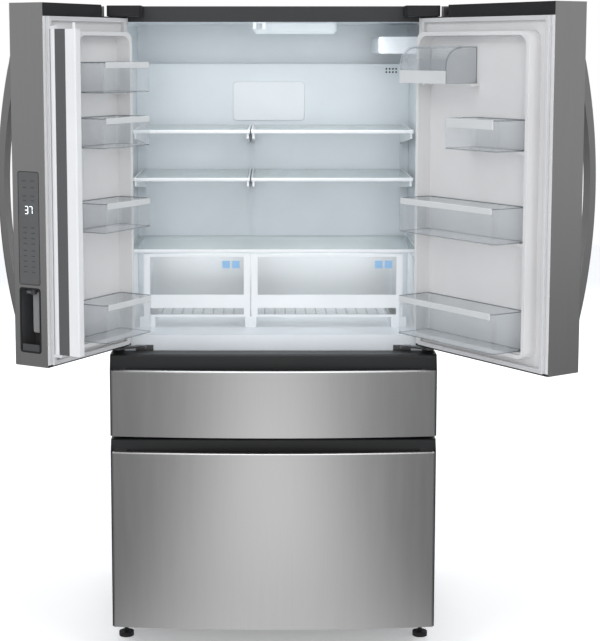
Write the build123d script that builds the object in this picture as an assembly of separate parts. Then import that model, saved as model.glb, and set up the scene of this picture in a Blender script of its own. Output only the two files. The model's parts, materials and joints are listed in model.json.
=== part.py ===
from build123d import *
import os
from math import asin, cos, degrees, radians, sin, sqrt

# French door refrigerator: two unequal bowed doors over a flex drawer and a freezer drawer.
# Millimetres. X to the right seen from the front, Y to the back, Z up.
# The origin is on the floor, under the middle of the case. Doors are built closed and swung to rest.

# Case
CASE_W = 908.0
CASE_D = 620.0
BASE_Z = 40.0
SHEET = 1.0
FRAME_T = 1.5
LINER_T = 2.0
SIDE_WALL = 34.0
BACK_WALL = 75.0
FIT = 0.3

# Heights of the compartments and rails, from the base up
BASE_WALL = 72.0
FREEZER_H = 486.0
LOWER_RAIL_H = 50.0
FLEX_H = 152.0
MIDDLE_RAIL_H = 48.0
SILL_H = 46.0
FRESH_H = 875.0
TOP_RAIL_H = 43.0
OPENING_R = 12.0

# Machine compartment at the bottom rear
MACHINE_H = 200.0
MACHINE_D = 170.0
MACHINE_WALL = 40.0
MACHINE_SIDE = 8.0

# Bowed fronts
GASKET_GAP = 12.0
GASKET_T = 11.7
GASKET_W = 12.0
FRONT_EDGE_T = 85.0
BOW = 25.0
EDGE_R = 6.0

# Doors
LEFT_DOOR_W = 375.0
DOOR_GAP = 8.0
DOOR_LIFT = 24.0
LEFT_OPEN = 120.0
RIGHT_OPEN = 124.0
HINGE_FROM_SIDE = 20.0
HINGE_FROM_INNER = 30.0
TOP_CAP_H = 31.0
CAP_PLATE_T = 3.0
BOTTOM_CAP_T = 6.0
BOSS_R = 12.0
BOSS_DEPTH = 24.0
NOTCH_W = 122.0
GASKET_HINGE_SIDE = 22.0
GASKET_FREE_SIDE = 12.0
DIKE_H = 40.0
DIKE_W = 14.0
DIKE_HINGE_SIDE = 38.0
DIKE_R = 26.0
DIKE_LOW_R = 6.0
DIKE_CLEAR = 16.0
LEFT_DIKE_FREE_SIDE = 87.0
RIGHT_DIKE_FREE_SIDE = 48.0
DIKE_DRAFT = 4.0

# Bow handles
HANDLE_RISE = 60.0
HANDLE_BAR = 24.0
HANDLE_FROM_EDGE = 25.0
HANDLE_Z = 113.0
HANDLE_L = 705.0
HANDLE_FOOT = 90.0
HANDLE_TIP = 8.0
HANDLE_R = 7.0

# Control panel and dispenser in the left door's free edge
PANEL_W = 67.0
PANEL_H = 294.0
PANEL_Z = 215.0
PANEL_T = 3.0
NICHE_H = 170.0
NICHE_Z = 36.0
NICHE_D = 62.0
NICHE_T = 2.0
NOZZLE_R = 8.0
PADDLE_W = 24.0
PADDLE_H = 106.0
PADDLE_T = 5.0
PADDLE_DEPTH = 30.0
PADDLE_BARREL_R = 5.0
PADDLE_PIN_R = 2.5

# Flip mullion on the left door
MULLION_T = 24.0
MULLION_REACH = 72.0
MULLION_PIVOT_IN = 20.0
MULLION_PLATE_W = 33.0
MULLION_PLATE_T = 2.0
MULLION_BELOW_TOP = 67.0
MULLION_ABOVE_BOTTOM = 37.0
MULLION_PIN_R = 4.0
MULLION_BRACKET_T = 8.0
PEG_FROM_PIVOT = 60.0
PEG_R = 4.0
GUIDE_SLOT = 16.0
GUIDE_WALL = 10.0

# Door bins: level as a share of the height inside the dike, then the bin's own height
BIN_START = 53.0
BIN_DEPTH = 110.0
BIN_WALL = 3.0
BIN_R = 12.0
BIN_RAIL_T = 3.0
BIN_RAIL_H = 16.0
LEFT_BIN_GAP = 4.0
LEFT_BINS = [(0.0050, 102.0), (0.3661, 78.0), (0.6401, 79.0), (0.8182, 80.0)]
RIGHT_BIN_GAP = 24.0
RIGHT_BINS = [(0.0025, 104.0), (0.3499, 92.0)]
HALF_BIN_START = 236.0
HALF_BIN = (0.6401, 80.0)
HALF_RAIL_H = 24.0
LUG_T = 8.0
LUG_D = 30.0
LUG_GRIP = 10.0
DAIRY_END = 240.0
DAIRY_TOP_GAP = 23.0
DAIRY_FRONT_H = 34.0
DAIRY_H = 99.0
DAIRY_TOP_D = 52.0
DAIRY_BEND_OUT = 0.8
DAIRY_BEND_UP = 0.7
DAIRY_LID_T = 2.5
DAIRY_PIN_R = 2.0
DAIRY_PIN_DROP = 5.7
DAIRY_BARREL_R = 4.0

# Drawers
PANEL_DEPTH = 67.0
SIDE_TRIM = 3.0
LEDGE_R = 6.0
PULL_LIP = 12.0
PULL_DEPTH = 26.0
PULL_FROM_SIDE = 43.0
FLEX_FRONT_DROP = 23.0
FLEX_FRONT_RISE = 13.0
FREEZER_FRONT_DROP = 37.0
FREEZER_FRONT_SHORT = 17.0
FRONT_GAP = 13.0
WALL_TOP_GAP = 20.0
BASKET_WALL = 3.0
BASKET_R = 14.0
BASKET_FLOOR_GAP = 6.0
FLEX_BASKET_H = 132.0
FLEX_BASKET_D = 452.0
FREEZER_BASKET_H = 380.0
FREEZER_BASKET_D = 412.0
SLIDE_T = 12.0
SLIDE_H = 32.0
SLIDE_L = 440.0
SLIDE_WALL = 1.5
SLIDE_GAP = 0.5

# Fresh-food interior
INTERIOR_FRONT = 120.0
DUCT_D = 55.0
DUCT_H = 756.0
DUCT_T = 3.0
VENT_R = 3.2
VENT_PITCH = 10.0
VENT_COLUMNS = 4
VENT_ROWS = 2
VENT_FROM_SIDE = 40.0
VENT_FROM_TOP = 15.0
FILTER_PANEL_X = -123.0
FILTER_PANEL_W = 221.0
FILTER_PANEL_H = 120.0
FILTER_PANEL_DROP = 54.0
FILTER_PANEL_T = 5.0
TRACK_W = 12.0
TRACK_T = 4.0
TRACK_SLOT_W = 3.4
TRACK_SLOT_H = 12.0
TRACK_PITCH = 25.0
TRACK_START = 240.0
SHELF_T = 10.0
SHELF_GAP = 4.0
SHELF_RAIL = 14.0
SHELF_SIDE = 9.0
GLASS_T = 4.0
GLASS_LAP = 5.0
SHELF_SPLIT_X = -65.0
SHELF_SIDE_GAP = 19.0
SHELF_HEIGHTS = [434.0, 571.0]
ARM_T = 6.0
ARM_H = 30.0
ARM_BACK_H = 48.0
ARM_BACK_GAP = 8.0
CRISPER_SHELF_H = 227.0
CRISPER_H = 182.0
CRISPER_SIDE_GAP = 46.0
CRISPER_RIDGE_SHARE = 0.62
CRISPER_WALL = 3.0
CRISPER_DEPTH = 350.0
CRISPER_FRONT_T = 4.0
CRISPER_STILE = 18.0
CRISPER_SLOT_Z = 6.0
CRISPER_SLOT_H = 20.0
CRISPER_BAR_H = 38.0
CRISPER_TOP_BAR = 7.0
RUNNER_H = 31.0
RUNNER_W = 32.0
RUNNER_BAR = 12.0
LIGHT_X = -57.0
LIGHT_W = 241.0
LIGHT_D = 190.0
LIGHT_H = 29.0
WATER_FILTER_W = 119.0
WATER_FILTER_H = 48.0
WATER_FILTER_L = 322.0
WATER_FILTER_DROP = 39.0
WATER_FILTER_FRONT = 138.0

# Hinges
PIN_R = 5.0
PIN_CLEAR = 0.05
HINGE_PLATE_T = 4.0
HINGE_ARM_T = 5.0
HINGE_PLATE_IN = 64.0
HINGE_PLATE_W = 50.0
HINGE_PLATE_H = 31.0
HINGE_PLATE_Z = 14.0
HINGE_NOSE = 14.0
COLLAR_R = 9.0
COVER_W = 94.0
COVER_REACH = 40.0
COVER_T = 2.0
COVER_R = 8.0
COVER_LIFT = 2.0

# Feet, rollers and the machinery
FOOT_R = 21.5
FOOT_T = 12.0
FOOT_STEM_R = 6.0
FOOT_FROM_SIDE = 27.0
FOOT_FROM_FRONT = 38.0
PAN_T = 2.0
ROLLER_GAP = 4.0
ROLLER_W = 22.0
ROLLER_FROM_SIDE = 54.0
ROLLER_FROM_BACK = 40.0
AXLE_R = 4.0
CHEEK_T = 3.0
CHEEK_GAP = 1.0
COVER_BORDER = 10.0
COVER_SLOTS = 12
COVER_SLOT_W = 8.0
COVER_SLOT_H = 110.0
COMPRESSOR_R = 70.0
COMPRESSOR_H = 150.0
COMPRESSOR_FROM_SIDE = 204.0
COMPRESSOR_SHOULDER = 24.0
COMPRESSOR_PLATE_L = 168.0
COMPRESSOR_PLATE_W = 105.0
COMPRESSOR_FOOT = 10.0
COMPRESSOR_FOOT_W = 18.0
TUBE_R = 4.0
COIL_PITCH = 34.0
FOLD_ANGLE = 30.0
CONDENSER_RUNS = 5
CONDENSER_FROM_SIDE = 34.0
CONDENSER_L = 320.0
EVAPORATOR_RUNS = 9
EVAPORATOR_L = 540.0
EVAPORATOR_Z = 140.0
COIL_PLATE_T = 2.0
COIL_PLATE_IN = 40.0
FAN_R = 60.0
FAN_TIP_R = 54.0
FAN_HUB_R = 18.0
FAN_W = 24.0
FAN_BLADES = 5
FAN_PITCH = 32.0
FAN_SHAFT_R = 3.0
FAN_MOTOR_R = 26.0
FAN_MOTOR_L = 40.0
INLET_FROM_SIDE = 74.0
INLET_Z = 320.0
INLET_R = 7.0
INLET_L = 22.0
INLET_BORE_R = 3.2
INLET_BORE_L = 18.0
INLET_FLANGE_R = 15.0
INLET_FLANGE_T = 4.0

# Derived levels
HALF_W = CASE_W / 2
FRONT_Y = -CASE_D / 2
BACK_Y = CASE_D / 2
FREEZER_Z0 = BASE_Z + BASE_WALL
FREEZER_Z1 = FREEZER_Z0 + FREEZER_H
FLEX_Z0 = FREEZER_Z1 + LOWER_RAIL_H
FLEX_Z1 = FLEX_Z0 + FLEX_H
SILL_Z = FLEX_Z1 + MIDDLE_RAIL_H
FRESH_Z0 = SILL_Z + SILL_H
FRESH_Z1 = FRESH_Z0 + FRESH_H
TOP_Z = FRESH_Z1 + TOP_RAIL_H
LINER_X = HALF_W - SIDE_WALL
CRISPER_HALF = LINER_X - CRISPER_SIDE_GAP
ROLLER_X = HALF_W - ROLLER_FROM_SIDE
COMPRESSOR_X = HALF_W - COMPRESSOR_FROM_SIDE
CONDENSER_X = CONDENSER_FROM_SIDE - HALF_W
INLET_X = INLET_FROM_SIDE - HALF_W
LINER_BACK = BACK_Y - BACK_WALL
FOAM_FRONT = FRONT_Y + FRAME_T
FOAM_BACK = BACK_Y - SHEET
FOAM_X = HALF_W - SHEET
FOAM_Z0 = BASE_Z + PAN_T
MACHINE_Z1 = BASE_Z + MACHINE_H
MACHINE_Y = BACK_Y - MACHINE_D
STEP_Z = MACHINE_Z1 + MACHINE_WALL
STEP_Y = MACHINE_Y - MACHINE_WALL
INNER_Y = FRONT_Y - GASKET_GAP
EDGE_Y = INNER_Y - FRONT_EDGE_T
BOW_R = (HALF_W**2 + BOW**2) / (2 * BOW)
BOW_Y = EDGE_Y - BOW + BOW_R
AXIS_X = HALF_W - HINGE_FROM_SIDE
AXIS_Y = INNER_Y - HINGE_FROM_INNER
DOOR_Z0 = SILL_Z + DOOR_LIFT
DOOR_Z1 = TOP_Z
DIKE_Z0 = FRESH_Z0 + DIKE_CLEAR
DIKE_Z1 = FRESH_Z1 - DIKE_CLEAR - GASKET_W
BIN_SPACE_Z0 = DIKE_Z0 + DIKE_W
BIN_SPACE_Z1 = DIKE_Z1 - DIKE_W
BIN_SPACE_H = BIN_SPACE_Z1 - BIN_SPACE_Z0
DAIRY_Z0 = BIN_SPACE_Z1 - DAIRY_TOP_GAP - DAIRY_H
CAP_Z = DOOR_Z1 - TOP_CAP_H
LINER_Z0 = DOOR_Z0 + BOTTOM_CAP_T
LINER_Z1 = CAP_Z - CAP_PLATE_T
LEFT_FREE_X = -HALF_W + LEFT_DOOR_W
RIGHT_FREE_X = LEFT_FREE_X + DOOR_GAP
RIGHT_DOOR_W = HALF_W - RIGHT_FREE_X
INTERIOR_Y = FRONT_Y + INTERIOR_FRONT
DUCT_Y = LINER_BACK - DUCT_D
TRACK_Y = DUCT_Y - TRACK_T
SHELF_BACK = TRACK_Y - ARM_BACK_GAP
WALL_Y = INNER_Y - PANEL_DEPTH
LEFT = -1
RIGHT = 1
SIDE_COUNT = 6


def block(x0, x1, y0, y1, z0, z1):
    """A box between two limits on each axis, given in either order."""
    size = Box(abs(x1 - x0), abs(y1 - y0), abs(z1 - z0))
    return Pos((x0 + x1) / 2, (y0 + y1) / 2, (z0 + z1) / 2) * size


def rounded_block(x0, x1, y0, y1, z0, z1, radius):
    """A box whose four upright edges are rounded."""
    plan = RectangleRounded(abs(x1 - x0), abs(y1 - y0), radius)
    return Pos((x0 + x1) / 2, (y0 + y1) / 2, z0) * extrude(plan, z1 - z0)


def facing_back(x, y, z):
    """A plane that looks to the back, for outlines drawn in X and Z."""
    return Plane(origin=(x, y, z), x_dir=(1, 0, 0), z_dir=(0, 1, 0))


def prism_to_back(half_w, z0, z1, y0, y1, radius):
    """A rounded opening of the cabinet, drawn from y0 to y1."""
    outline = facing_back(0, y0, (z0 + z1) / 2) * RectangleRounded(2 * half_w, z1 - z0, radius)
    return extrude(outline, y1 - y0)


def rod(point, direction, radius, length):
    """A round bar from a point along a direction."""
    return extrude(Plane(origin=point, z_dir=direction) * Circle(radius), length)


def mirrored(shape):
    """A left-hand shape with its right-hand twin, as two solids."""
    return Compound(children=[shape, mirror(shape, about=Plane.YZ)])


def save(shape, name):
    export_step(shape, "parts/" + name + ".step")


def front_y(x, inset=0.0):
    """Y of the shared bowed front at x, pulled in by inset."""
    radius = BOW_R - inset
    return BOW_Y - sqrt(radius**2 - x**2)


def bowed_plan(x0, x1, back_y, inset=0.0):
    """Plan outline from a flat back to the bowed front, pulled in at the front and sides."""
    a = x0 + inset
    b = x1 - inset
    middle = (a + b) / 2
    sides = [
        Line((a, back_y), (b, back_y)),
        Line((b, back_y), (b, front_y(b, inset))),
        ThreePointArc((b, front_y(b, inset)), (middle, front_y(middle, inset)), (a, front_y(a, inset))),
        Line((a, front_y(a, inset)), (a, back_y)),
    ]
    plan = make_face(sides)
    corners = plan.vertices().sort_by(Axis.Y)[:2]
    return fillet(corners, EDGE_R - inset) if inset < EDGE_R else plan


def bowed_slab(x0, x1, back_y, z0, z1, inset=0.0):
    return Pos(0, 0, z0) * extrude(bowed_plan(x0, x1, back_y, inset), z1 - z0)


def ring(x0, x1, z0, z1, width, y0, y1):
    """A square-cornered picture frame in X and Z."""
    outer = block(x0, x1, y0, y1, z0, z1)
    low, high = sorted((x0, x1))
    return outer - block(low + width, high - width, y0 - 1, y1 + 1, z0 + width, z1 - width)


# Steel case, foam and liners


def make_outer_case():
    outer = block(-HALF_W, HALF_W, FRONT_Y, BACK_Y, BASE_Z, TOP_Z)
    hollow = block(-FOAM_X, FOAM_X, FRONT_Y - 1, FOAM_BACK, BASE_Z - 1, TOP_Z - SHEET)
    half = FOAM_X - COVER_BORDER
    opening = block(-half, half, FOAM_BACK - 1, BACK_Y + 1, FOAM_Z0, MACHINE_Z1 - COVER_BORDER)
    inlet = rod((INLET_X, FOAM_BACK - 1, INLET_Z), (0, 1, 0), INLET_R + FIT, SHEET + 2)
    return outer - hollow - opening - inlet


def fresh_opening(y0, y1, grow=0.0):
    return prism_to_back(LINER_X + grow, FRESH_Z0 - grow, FRESH_Z1 + grow, y0, y1, OPENING_R + grow)


def flex_opening(y0, y1, grow=0.0):
    return prism_to_back(LINER_X + grow, FLEX_Z0 - grow, FLEX_Z1 + grow, y0, y1, OPENING_R + grow)


def freezer_opening(y0, y1, grow=0.0):
    """The freezer space, stepped over the machine compartment where it reaches far enough back."""
    front = prism_to_back(
        LINER_X + grow, FREEZER_Z0 - grow, FREEZER_Z1 + grow, y0, min(y1, STEP_Y + grow), OPENING_R + grow
    )
    if y1 <= STEP_Y:
        return front
    return front + prism_to_back(LINER_X + grow, STEP_Z - grow, FREEZER_Z1 + grow, y0, y1, OPENING_R + grow)


def sill_zone(y0, y1):
    """The strip of the front below the fresh-food opening that the liner's lip covers."""
    return block(-LINER_X, LINER_X, y0, y1, SILL_Z, FRESH_Z0 + OPENING_R)


def make_front_frame():
    plate = block(-FOAM_X, FOAM_X, FRONT_Y, FOAM_FRONT, BASE_Z, TOP_Z - SHEET)
    for opening in (fresh_opening, flex_opening, freezer_opening):
        plate -= opening(FRONT_Y - 1, FOAM_FRONT + 1)
    return plate - sill_zone(FRONT_Y - 1, FOAM_FRONT + 1)


def make_insulation():
    foam = block(-FOAM_X, FOAM_X, FOAM_FRONT, FOAM_BACK, FOAM_Z0, TOP_Z - SHEET)
    for opening in (fresh_opening, flex_opening, freezer_opening):
        foam -= opening(FOAM_FRONT - 1, LINER_BACK + LINER_T, LINER_T)
    bay = FOAM_X - MACHINE_SIDE
    foam -= block(-bay, bay, MACHINE_Y, FOAM_BACK + 1, FOAM_Z0 - 1, MACHINE_Z1)
    foam -= block(-FOAM_X - 1, FOAM_X + 1, FOAM_BACK - PAN_T, FOAM_BACK + 1, FOAM_Z0 - 1, MACHINE_Z1)
    return foam - rod((INLET_X, FOAM_BACK - INLET_L, INLET_Z), (0, 1, 0), INLET_R, INLET_L + 1)


def make_fresh_liner():
    shell = fresh_opening(FOAM_FRONT, LINER_BACK + LINER_T, LINER_T)
    shell -= fresh_opening(FOAM_FRONT - 1, LINER_BACK)
    lip = sill_zone(FRONT_Y, FOAM_FRONT) - fresh_opening(FRONT_Y - 1, FOAM_FRONT + 1)
    shelf_z = FRESH_Z0 + CRISPER_SHELF_H - SHELF_T
    x1 = -LINER_X + SHELF_SIDE_GAP
    ledge = block(-LINER_X - FIT, x1, INTERIOR_Y, SHELF_BACK, shelf_z - SHELF_T, shelf_z)
    other = mirror(ledge, about=Plane.YZ)
    return shell + lip + ledge + other


def make_drawer_liners():
    flex = flex_opening(FOAM_FRONT, LINER_BACK + LINER_T, LINER_T) - flex_opening(FOAM_FRONT - 1, LINER_BACK)
    freezer = freezer_opening(FOAM_FRONT, LINER_BACK + LINER_T, LINER_T)
    freezer -= freezer_opening(FOAM_FRONT - 1, LINER_BACK)
    return Compound(children=[flex, freezer])


os.makedirs("parts", exist_ok=True)
save(make_outer_case(), "outer_case")
save(make_insulation(), "cabinet_insulation")
save(make_fresh_liner(), "fresh_food_liner")
save(make_drawer_liners(), "drawer_liners")

# Base, feet, rollers and machinery

ROLLER_R = (BASE_Z - ROLLER_GAP) / 2
AXLE_Y = BACK_Y - ROLLER_FROM_BACK
MACHINE_MID_Y = (MACHINE_Y + FOAM_BACK) / 2


def make_base_pan():
    pan = block(-FOAM_X, FOAM_X, FOAM_FRONT, FOAM_BACK, BASE_Z, FOAM_Z0)
    for side in (LEFT, RIGHT):
        for face in (-1, 1):
            x0 = side * ROLLER_X + face * (ROLLER_W / 2 + CHEEK_GAP)
            x1 = x0 + face * CHEEK_T
            pan += block(x0, x1, AXLE_Y - ROLLER_R / 2, AXLE_Y + ROLLER_R / 2, ROLLER_R - 2 * AXLE_R, BASE_Z)
        span = ROLLER_W + 2 * CHEEK_GAP + 2 * CHEEK_T
        pan += rod((side * ROLLER_X - span / 2, AXLE_Y, ROLLER_R), (1, 0, 0), AXLE_R, span)
    return pan


def make_roller():
    wheel = rod((-ROLLER_X - ROLLER_W / 2, AXLE_Y, ROLLER_R), (1, 0, 0), ROLLER_R, ROLLER_W)
    return wheel - rod((-ROLLER_X - ROLLER_W, AXLE_Y, ROLLER_R), (1, 0, 0), AXLE_R + PIN_CLEAR, 2 * ROLLER_W)


def make_foot():
    place = Pos(-HALF_W + FOOT_FROM_SIDE, FRONT_Y + FOOT_FROM_FRONT, 0)
    disc = extrude(Circle(FOOT_R), FOOT_T)
    stem = extrude(RegularPolygon(FOOT_STEM_R, SIDE_COUNT), BASE_Z)
    return place * (disc + stem)


def make_machine_cover():
    half = FOAM_X - FIT
    plate = block(-half, half, FOAM_BACK - PAN_T, FOAM_BACK, FOAM_Z0, MACHINE_Z1)
    pitch = 2 * (half - 4 * COVER_BORDER) / COVER_SLOTS
    middle = (FOAM_Z0 + MACHINE_Z1) / 2
    low = middle - COVER_SLOT_H / 2
    slot = block(-COVER_SLOT_W / 2, COVER_SLOT_W / 2, FOAM_BACK - 2 * PAN_T, BACK_Y, low, low + COVER_SLOT_H)
    for i in range(COVER_SLOTS):
        plate -= Pos((i - (COVER_SLOTS - 1) / 2) * pitch, 0, 0) * slot
    return plate


def make_compressor():
    """Welded can with sloped shoulders on a plate with four feet, and its suction pipe."""
    place = Pos(COMPRESSOR_X, MACHINE_MID_Y, FOAM_Z0)
    can = Pos(0, 0, COMPRESSOR_FOOT) * extrude(Circle(COMPRESSOR_R), COMPRESSOR_H)
    can = chamfer(can.edges().filter_by(GeomType.CIRCLE), COMPRESSOR_SHOULDER)
    plate = Pos(0, 0, COMPRESSOR_FOOT) * extrude(Rectangle(COMPRESSOR_PLATE_L, COMPRESSOR_PLATE_W), 2 * PAN_T)
    foot = extrude(RegularPolygon(COMPRESSOR_FOOT_W / 2, SIDE_COUNT), COMPRESSOR_FOOT)
    foot_x = (COMPRESSOR_PLATE_L - COMPRESSOR_FOOT_W) / 2
    foot_y = (COMPRESSOR_PLATE_W - COMPRESSOR_FOOT_W) / 2
    feet = [Pos(x, y, 0) * foot for x in (-foot_x, foot_x) for y in (-foot_y, foot_y)]
    root = Plane(origin=(0, 0, COMPRESSOR_FOOT + COMPRESSOR_H / 2), z_dir=(-1, 0, 0))
    pipe = extrude(root * RegularPolygon(TUBE_R, SIDE_COUNT), COMPRESSOR_R + 3 * TUBE_R)
    return place * (can + plate + feet + pipe)


def serpentine(x0, x1, y, z0, runs, plate_y0, plate_y1, plate_z0, plate_z1):
    """A six-sided tube folded to and fro in one upright plane, carried by two end plates."""
    bend_r = COIL_PITCH / 2
    points = []
    for i in range(runs):
        z = z0 + i * COIL_PITCH
        near, far = (x0, x1) if i % 2 == 0 else (x1, x0)
        points += [(near, y, z), (far, y, z)]
        if i < runs - 1:
            way = 1 if far > near else -1
            for angle in (-FOLD_ANGLE, FOLD_ANGLE):
                out = way * bend_r * cos(radians(angle))
                points.append((far + out, y, z + bend_r + bend_r * sin(radians(angle))))
    section = Plane(origin=points[0], z_dir=(1, 0, 0)) * RegularPolygon(TUBE_R, SIDE_COUNT)
    tube = sweep(section, Polyline(points), transition=Transition.RIGHT)
    for x in (x0 + COIL_PLATE_IN, x1 - COIL_PLATE_IN):
        tube += block(x, x + COIL_PLATE_T, plate_y0, plate_y1, plate_z0, plate_z1)
    return tube


def make_condenser():
    z0 = FOAM_Z0 + COIL_PITCH
    return serpentine(
        CONDENSER_X, CONDENSER_X + CONDENSER_L, MACHINE_MID_Y, z0, CONDENSER_RUNS,
        MACHINE_MID_Y - COIL_PITCH / 2, MACHINE_MID_Y + COIL_PITCH / 2,
        FOAM_Z0, z0 + (CONDENSER_RUNS - 1) * COIL_PITCH + 2 * TUBE_R,
    )


def make_evaporator():
    z0 = FRESH_Z0 + EVAPORATOR_Z
    y = LINER_BACK - (DUCT_D - DUCT_T) / 2
    return serpentine(
        -EVAPORATOR_L / 2, EVAPORATOR_L / 2, y, z0, EVAPORATOR_RUNS, y - 2 * TUBE_R, LINER_BACK,
        z0 - COIL_PITCH / 2, z0 + EVAPORATOR_RUNS * COIL_PITCH - COIL_PITCH / 2,
    )


FAN_Z = FOAM_Z0 + FAN_R + COIL_PITCH
FAN_X = (CONDENSER_X + CONDENSER_L + COMPRESSOR_X - COMPRESSOR_PLATE_L / 2) / 2


def make_fan_motor():
    """Motor on a bent bracket, with the shaft that carries the blades."""
    can = rod((FAN_X, MACHINE_MID_Y, FAN_Z), (1, 0, 0), FAN_MOTOR_R, FAN_MOTOR_L)
    shaft_x = FAN_X - FAN_W - FAN_SHAFT_R
    shaft = rod((shaft_x, MACHINE_MID_Y, FAN_Z), (1, 0, 0), FAN_SHAFT_R, FAN_W + 2 * FAN_SHAFT_R)
    x1 = FAN_X + FAN_MOTOR_L
    y0 = MACHINE_MID_Y - FAN_MOTOR_R
    y1 = MACHINE_MID_Y + FAN_MOTOR_R
    post = block(x1 - PAN_T, x1, y0, y1, FOAM_Z0, FAN_Z + FAN_MOTOR_R)
    foot = block(FAN_X, x1, y0, y1, FOAM_Z0, FOAM_Z0 + PAN_T)
    return can + shaft + post + foot


def make_fan():
    """Hub and pitched blades, running on the motor shaft with a small gap to the motor."""
    hub_l = FAN_W - FIT
    hub = extrude(Circle(FAN_HUB_R), hub_l)
    outline = make_face([
        Line((0, -FAN_HUB_R / 2), (FAN_TIP_R, -FAN_HUB_R)),
        ThreePointArc((FAN_TIP_R, -FAN_HUB_R), (FAN_R, 0), (FAN_TIP_R, FAN_HUB_R)),
        Line((FAN_TIP_R, FAN_HUB_R), (0, FAN_HUB_R / 2)),
        Line((0, FAN_HUB_R / 2), (0, -FAN_HUB_R / 2)),
    ])
    blade = Rot(FAN_PITCH, 0, 0) * extrude(outline, PAN_T / 2, both=True)
    for i in range(FAN_BLADES):
        hub += Pos(0, 0, hub_l / 2) * Rot(0, 0, 360 / FAN_BLADES * i) * blade
    hub -= Pos(0, 0, -1) * extrude(Circle(FAN_SHAFT_R + PIN_CLEAR), hub_l + 2)
    return Plane(origin=(FAN_X - FAN_W, MACHINE_MID_Y, FAN_Z), z_dir=(1, 0, 0)) * hub


def make_inlet():
    """Water inlet: a six-sided flange on the back, a stub into the foam and a bore for the supply tube."""
    nut = facing_back(INLET_X, BACK_Y, INLET_Z) * RegularPolygon(INLET_FLANGE_R, SIDE_COUNT)
    flange = extrude(nut, INLET_FLANGE_T)
    stub = rod((INLET_X, BACK_Y - INLET_L, INLET_Z), (0, 1, 0), INLET_R - FIT, 2 * INLET_L)
    bore_y = BACK_Y + INLET_L - INLET_BORE_L
    bore = rod((INLET_X, bore_y, INLET_Z), (0, 1, 0), INLET_BORE_R, INLET_BORE_L + 1)
    return flange + stub - bore


save(make_base_pan(), "base_pan")
save(mirrored(make_roller()), "rear_rollers")
save(mirrored(make_foot()), "front_feet")
save(make_machine_cover(), "machine_cover")
save(make_compressor(), "compressor")
save(make_condenser(), "condenser_coil")
save(make_evaporator(), "evaporator_coil")
save(make_fan_motor(), "condenser_fan_motor")
save(make_fan(), "condenser_fan")
save(make_inlet(), "water_inlet_fitting")

# Fresh-food interior

SHELF_LEFT_X = -LINER_X + SHELF_SIDE_GAP
SHELF_RIGHT_X = LINER_X - SHELF_SIDE_GAP
SHELF_SPANS = [
    (SHELF_LEFT_X, SHELF_SPLIT_X - SHELF_GAP / 2),
    (SHELF_SPLIT_X + SHELF_GAP / 2, SHELF_RIGHT_X),
]
TRACK_Z = FRESH_Z0 + TRACK_START


def arm_centres(x0, x1):
    return (x0 + TRACK_W / 2, x1 - TRACK_W / 2)


def slot_index(level):
    """Number of the track slot just under a shelf, counted from the lowest."""
    return int((level - SHELF_T - ARM_H / 2 - TRACK_Z) // TRACK_PITCH)


def make_duct_cover():
    """False back wall over the coil, with the slotted shelf tracks and the vent holes."""
    half = LINER_X - FIT
    top = FRESH_Z0 + DUCT_H
    cover = block(-half, half, DUCT_Y, LINER_BACK, FRESH_Z0, top)
    corner = fresh_opening(DUCT_Y - 1, LINER_BACK + 1)
    cover = cover & corner
    inner = half - DUCT_T
    cover -= block(-inner, inner, DUCT_Y + DUCT_T, LINER_BACK + 1, FRESH_Z0 + DUCT_T, top - DUCT_T)
    vent = facing_back(0, DUCT_Y - 1, top - VENT_FROM_TOP) * RegularPolygon(VENT_R, SIDE_COUNT)
    hole = extrude(vent, DUCT_T + 2)
    for column in range(VENT_COLUMNS):
        for row in range(VENT_ROWS):
            cover -= Pos(half - VENT_FROM_SIDE - column * VENT_PITCH, 0, -row * VENT_PITCH) * hole
    slots = slot_index(FRESH_Z0 + max(SHELF_HEIGHTS)) + 1
    track_top = TRACK_Z + slots * TRACK_PITCH
    slot = block(-TRACK_SLOT_W / 2, TRACK_SLOT_W / 2, TRACK_Y - 1, DUCT_Y, -TRACK_SLOT_H / 2, TRACK_SLOT_H / 2)
    for span in SHELF_SPANS:
        for x in arm_centres(*span):
            track = block(x - TRACK_W / 2, x + TRACK_W / 2, TRACK_Y, DUCT_Y, TRACK_Z - TRACK_PITCH, track_top)
            track -= [Pos(x, 0, TRACK_Z + i * TRACK_PITCH) * slot for i in range(slots)]
            cover += track
    return cover


def shelf_frame(x0, x1, level):
    """White rim with a rebate for the glass."""
    rim = block(x0, x1, INTERIOR_Y, SHELF_BACK, level - SHELF_T, level)
    rim = chamfer(rim.edges().filter_by(Axis.X).group_by(Axis.Y)[0], SHELF_T / 4)
    lap = GLASS_LAP
    rim -= block(x0 + lap, x1 - lap, INTERIOR_Y + lap, SHELF_BACK - lap, level - GLASS_T, level + 1)
    side = SHELF_SIDE
    under = level - SHELF_T - 1
    return rim - block(x0 + side, x1 - side, INTERIOR_Y + SHELF_RAIL, SHELF_BACK - side, under, level)


def shelf_glass(x0, x1, level):
    lap = GLASS_LAP + FIT
    return block(x0 + lap, x1 - lap, INTERIOR_Y + lap, SHELF_BACK - lap, level - GLASS_T, level)


def shelf_arm(x, level):
    """Cantilever arm under a shelf side, hooked into a slot of its track."""
    under = level - SHELF_T
    front = INTERIOR_Y + SHELF_RAIL / 2
    profile = Polyline(
        (front, under), (TRACK_Y, under), (TRACK_Y, under - ARM_BACK_H), (front, under - ARM_H / 2), close=True
    )
    side = Plane(origin=(x - ARM_T / 2, 0, 0), x_dir=(0, 1, 0), z_dir=(1, 0, 0))
    arm = extrude(side * make_face(profile), ARM_T)
    tab_z = TRACK_Z + slot_index(level) * TRACK_PITCH
    half_tab = TRACK_SLOT_W / 2 - FIT
    rise = TRACK_SLOT_H / 3
    tab = block(x - half_tab, x + half_tab, TRACK_Y, DUCT_Y - FIT, tab_z - rise, tab_z + rise)
    return arm + tab


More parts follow.
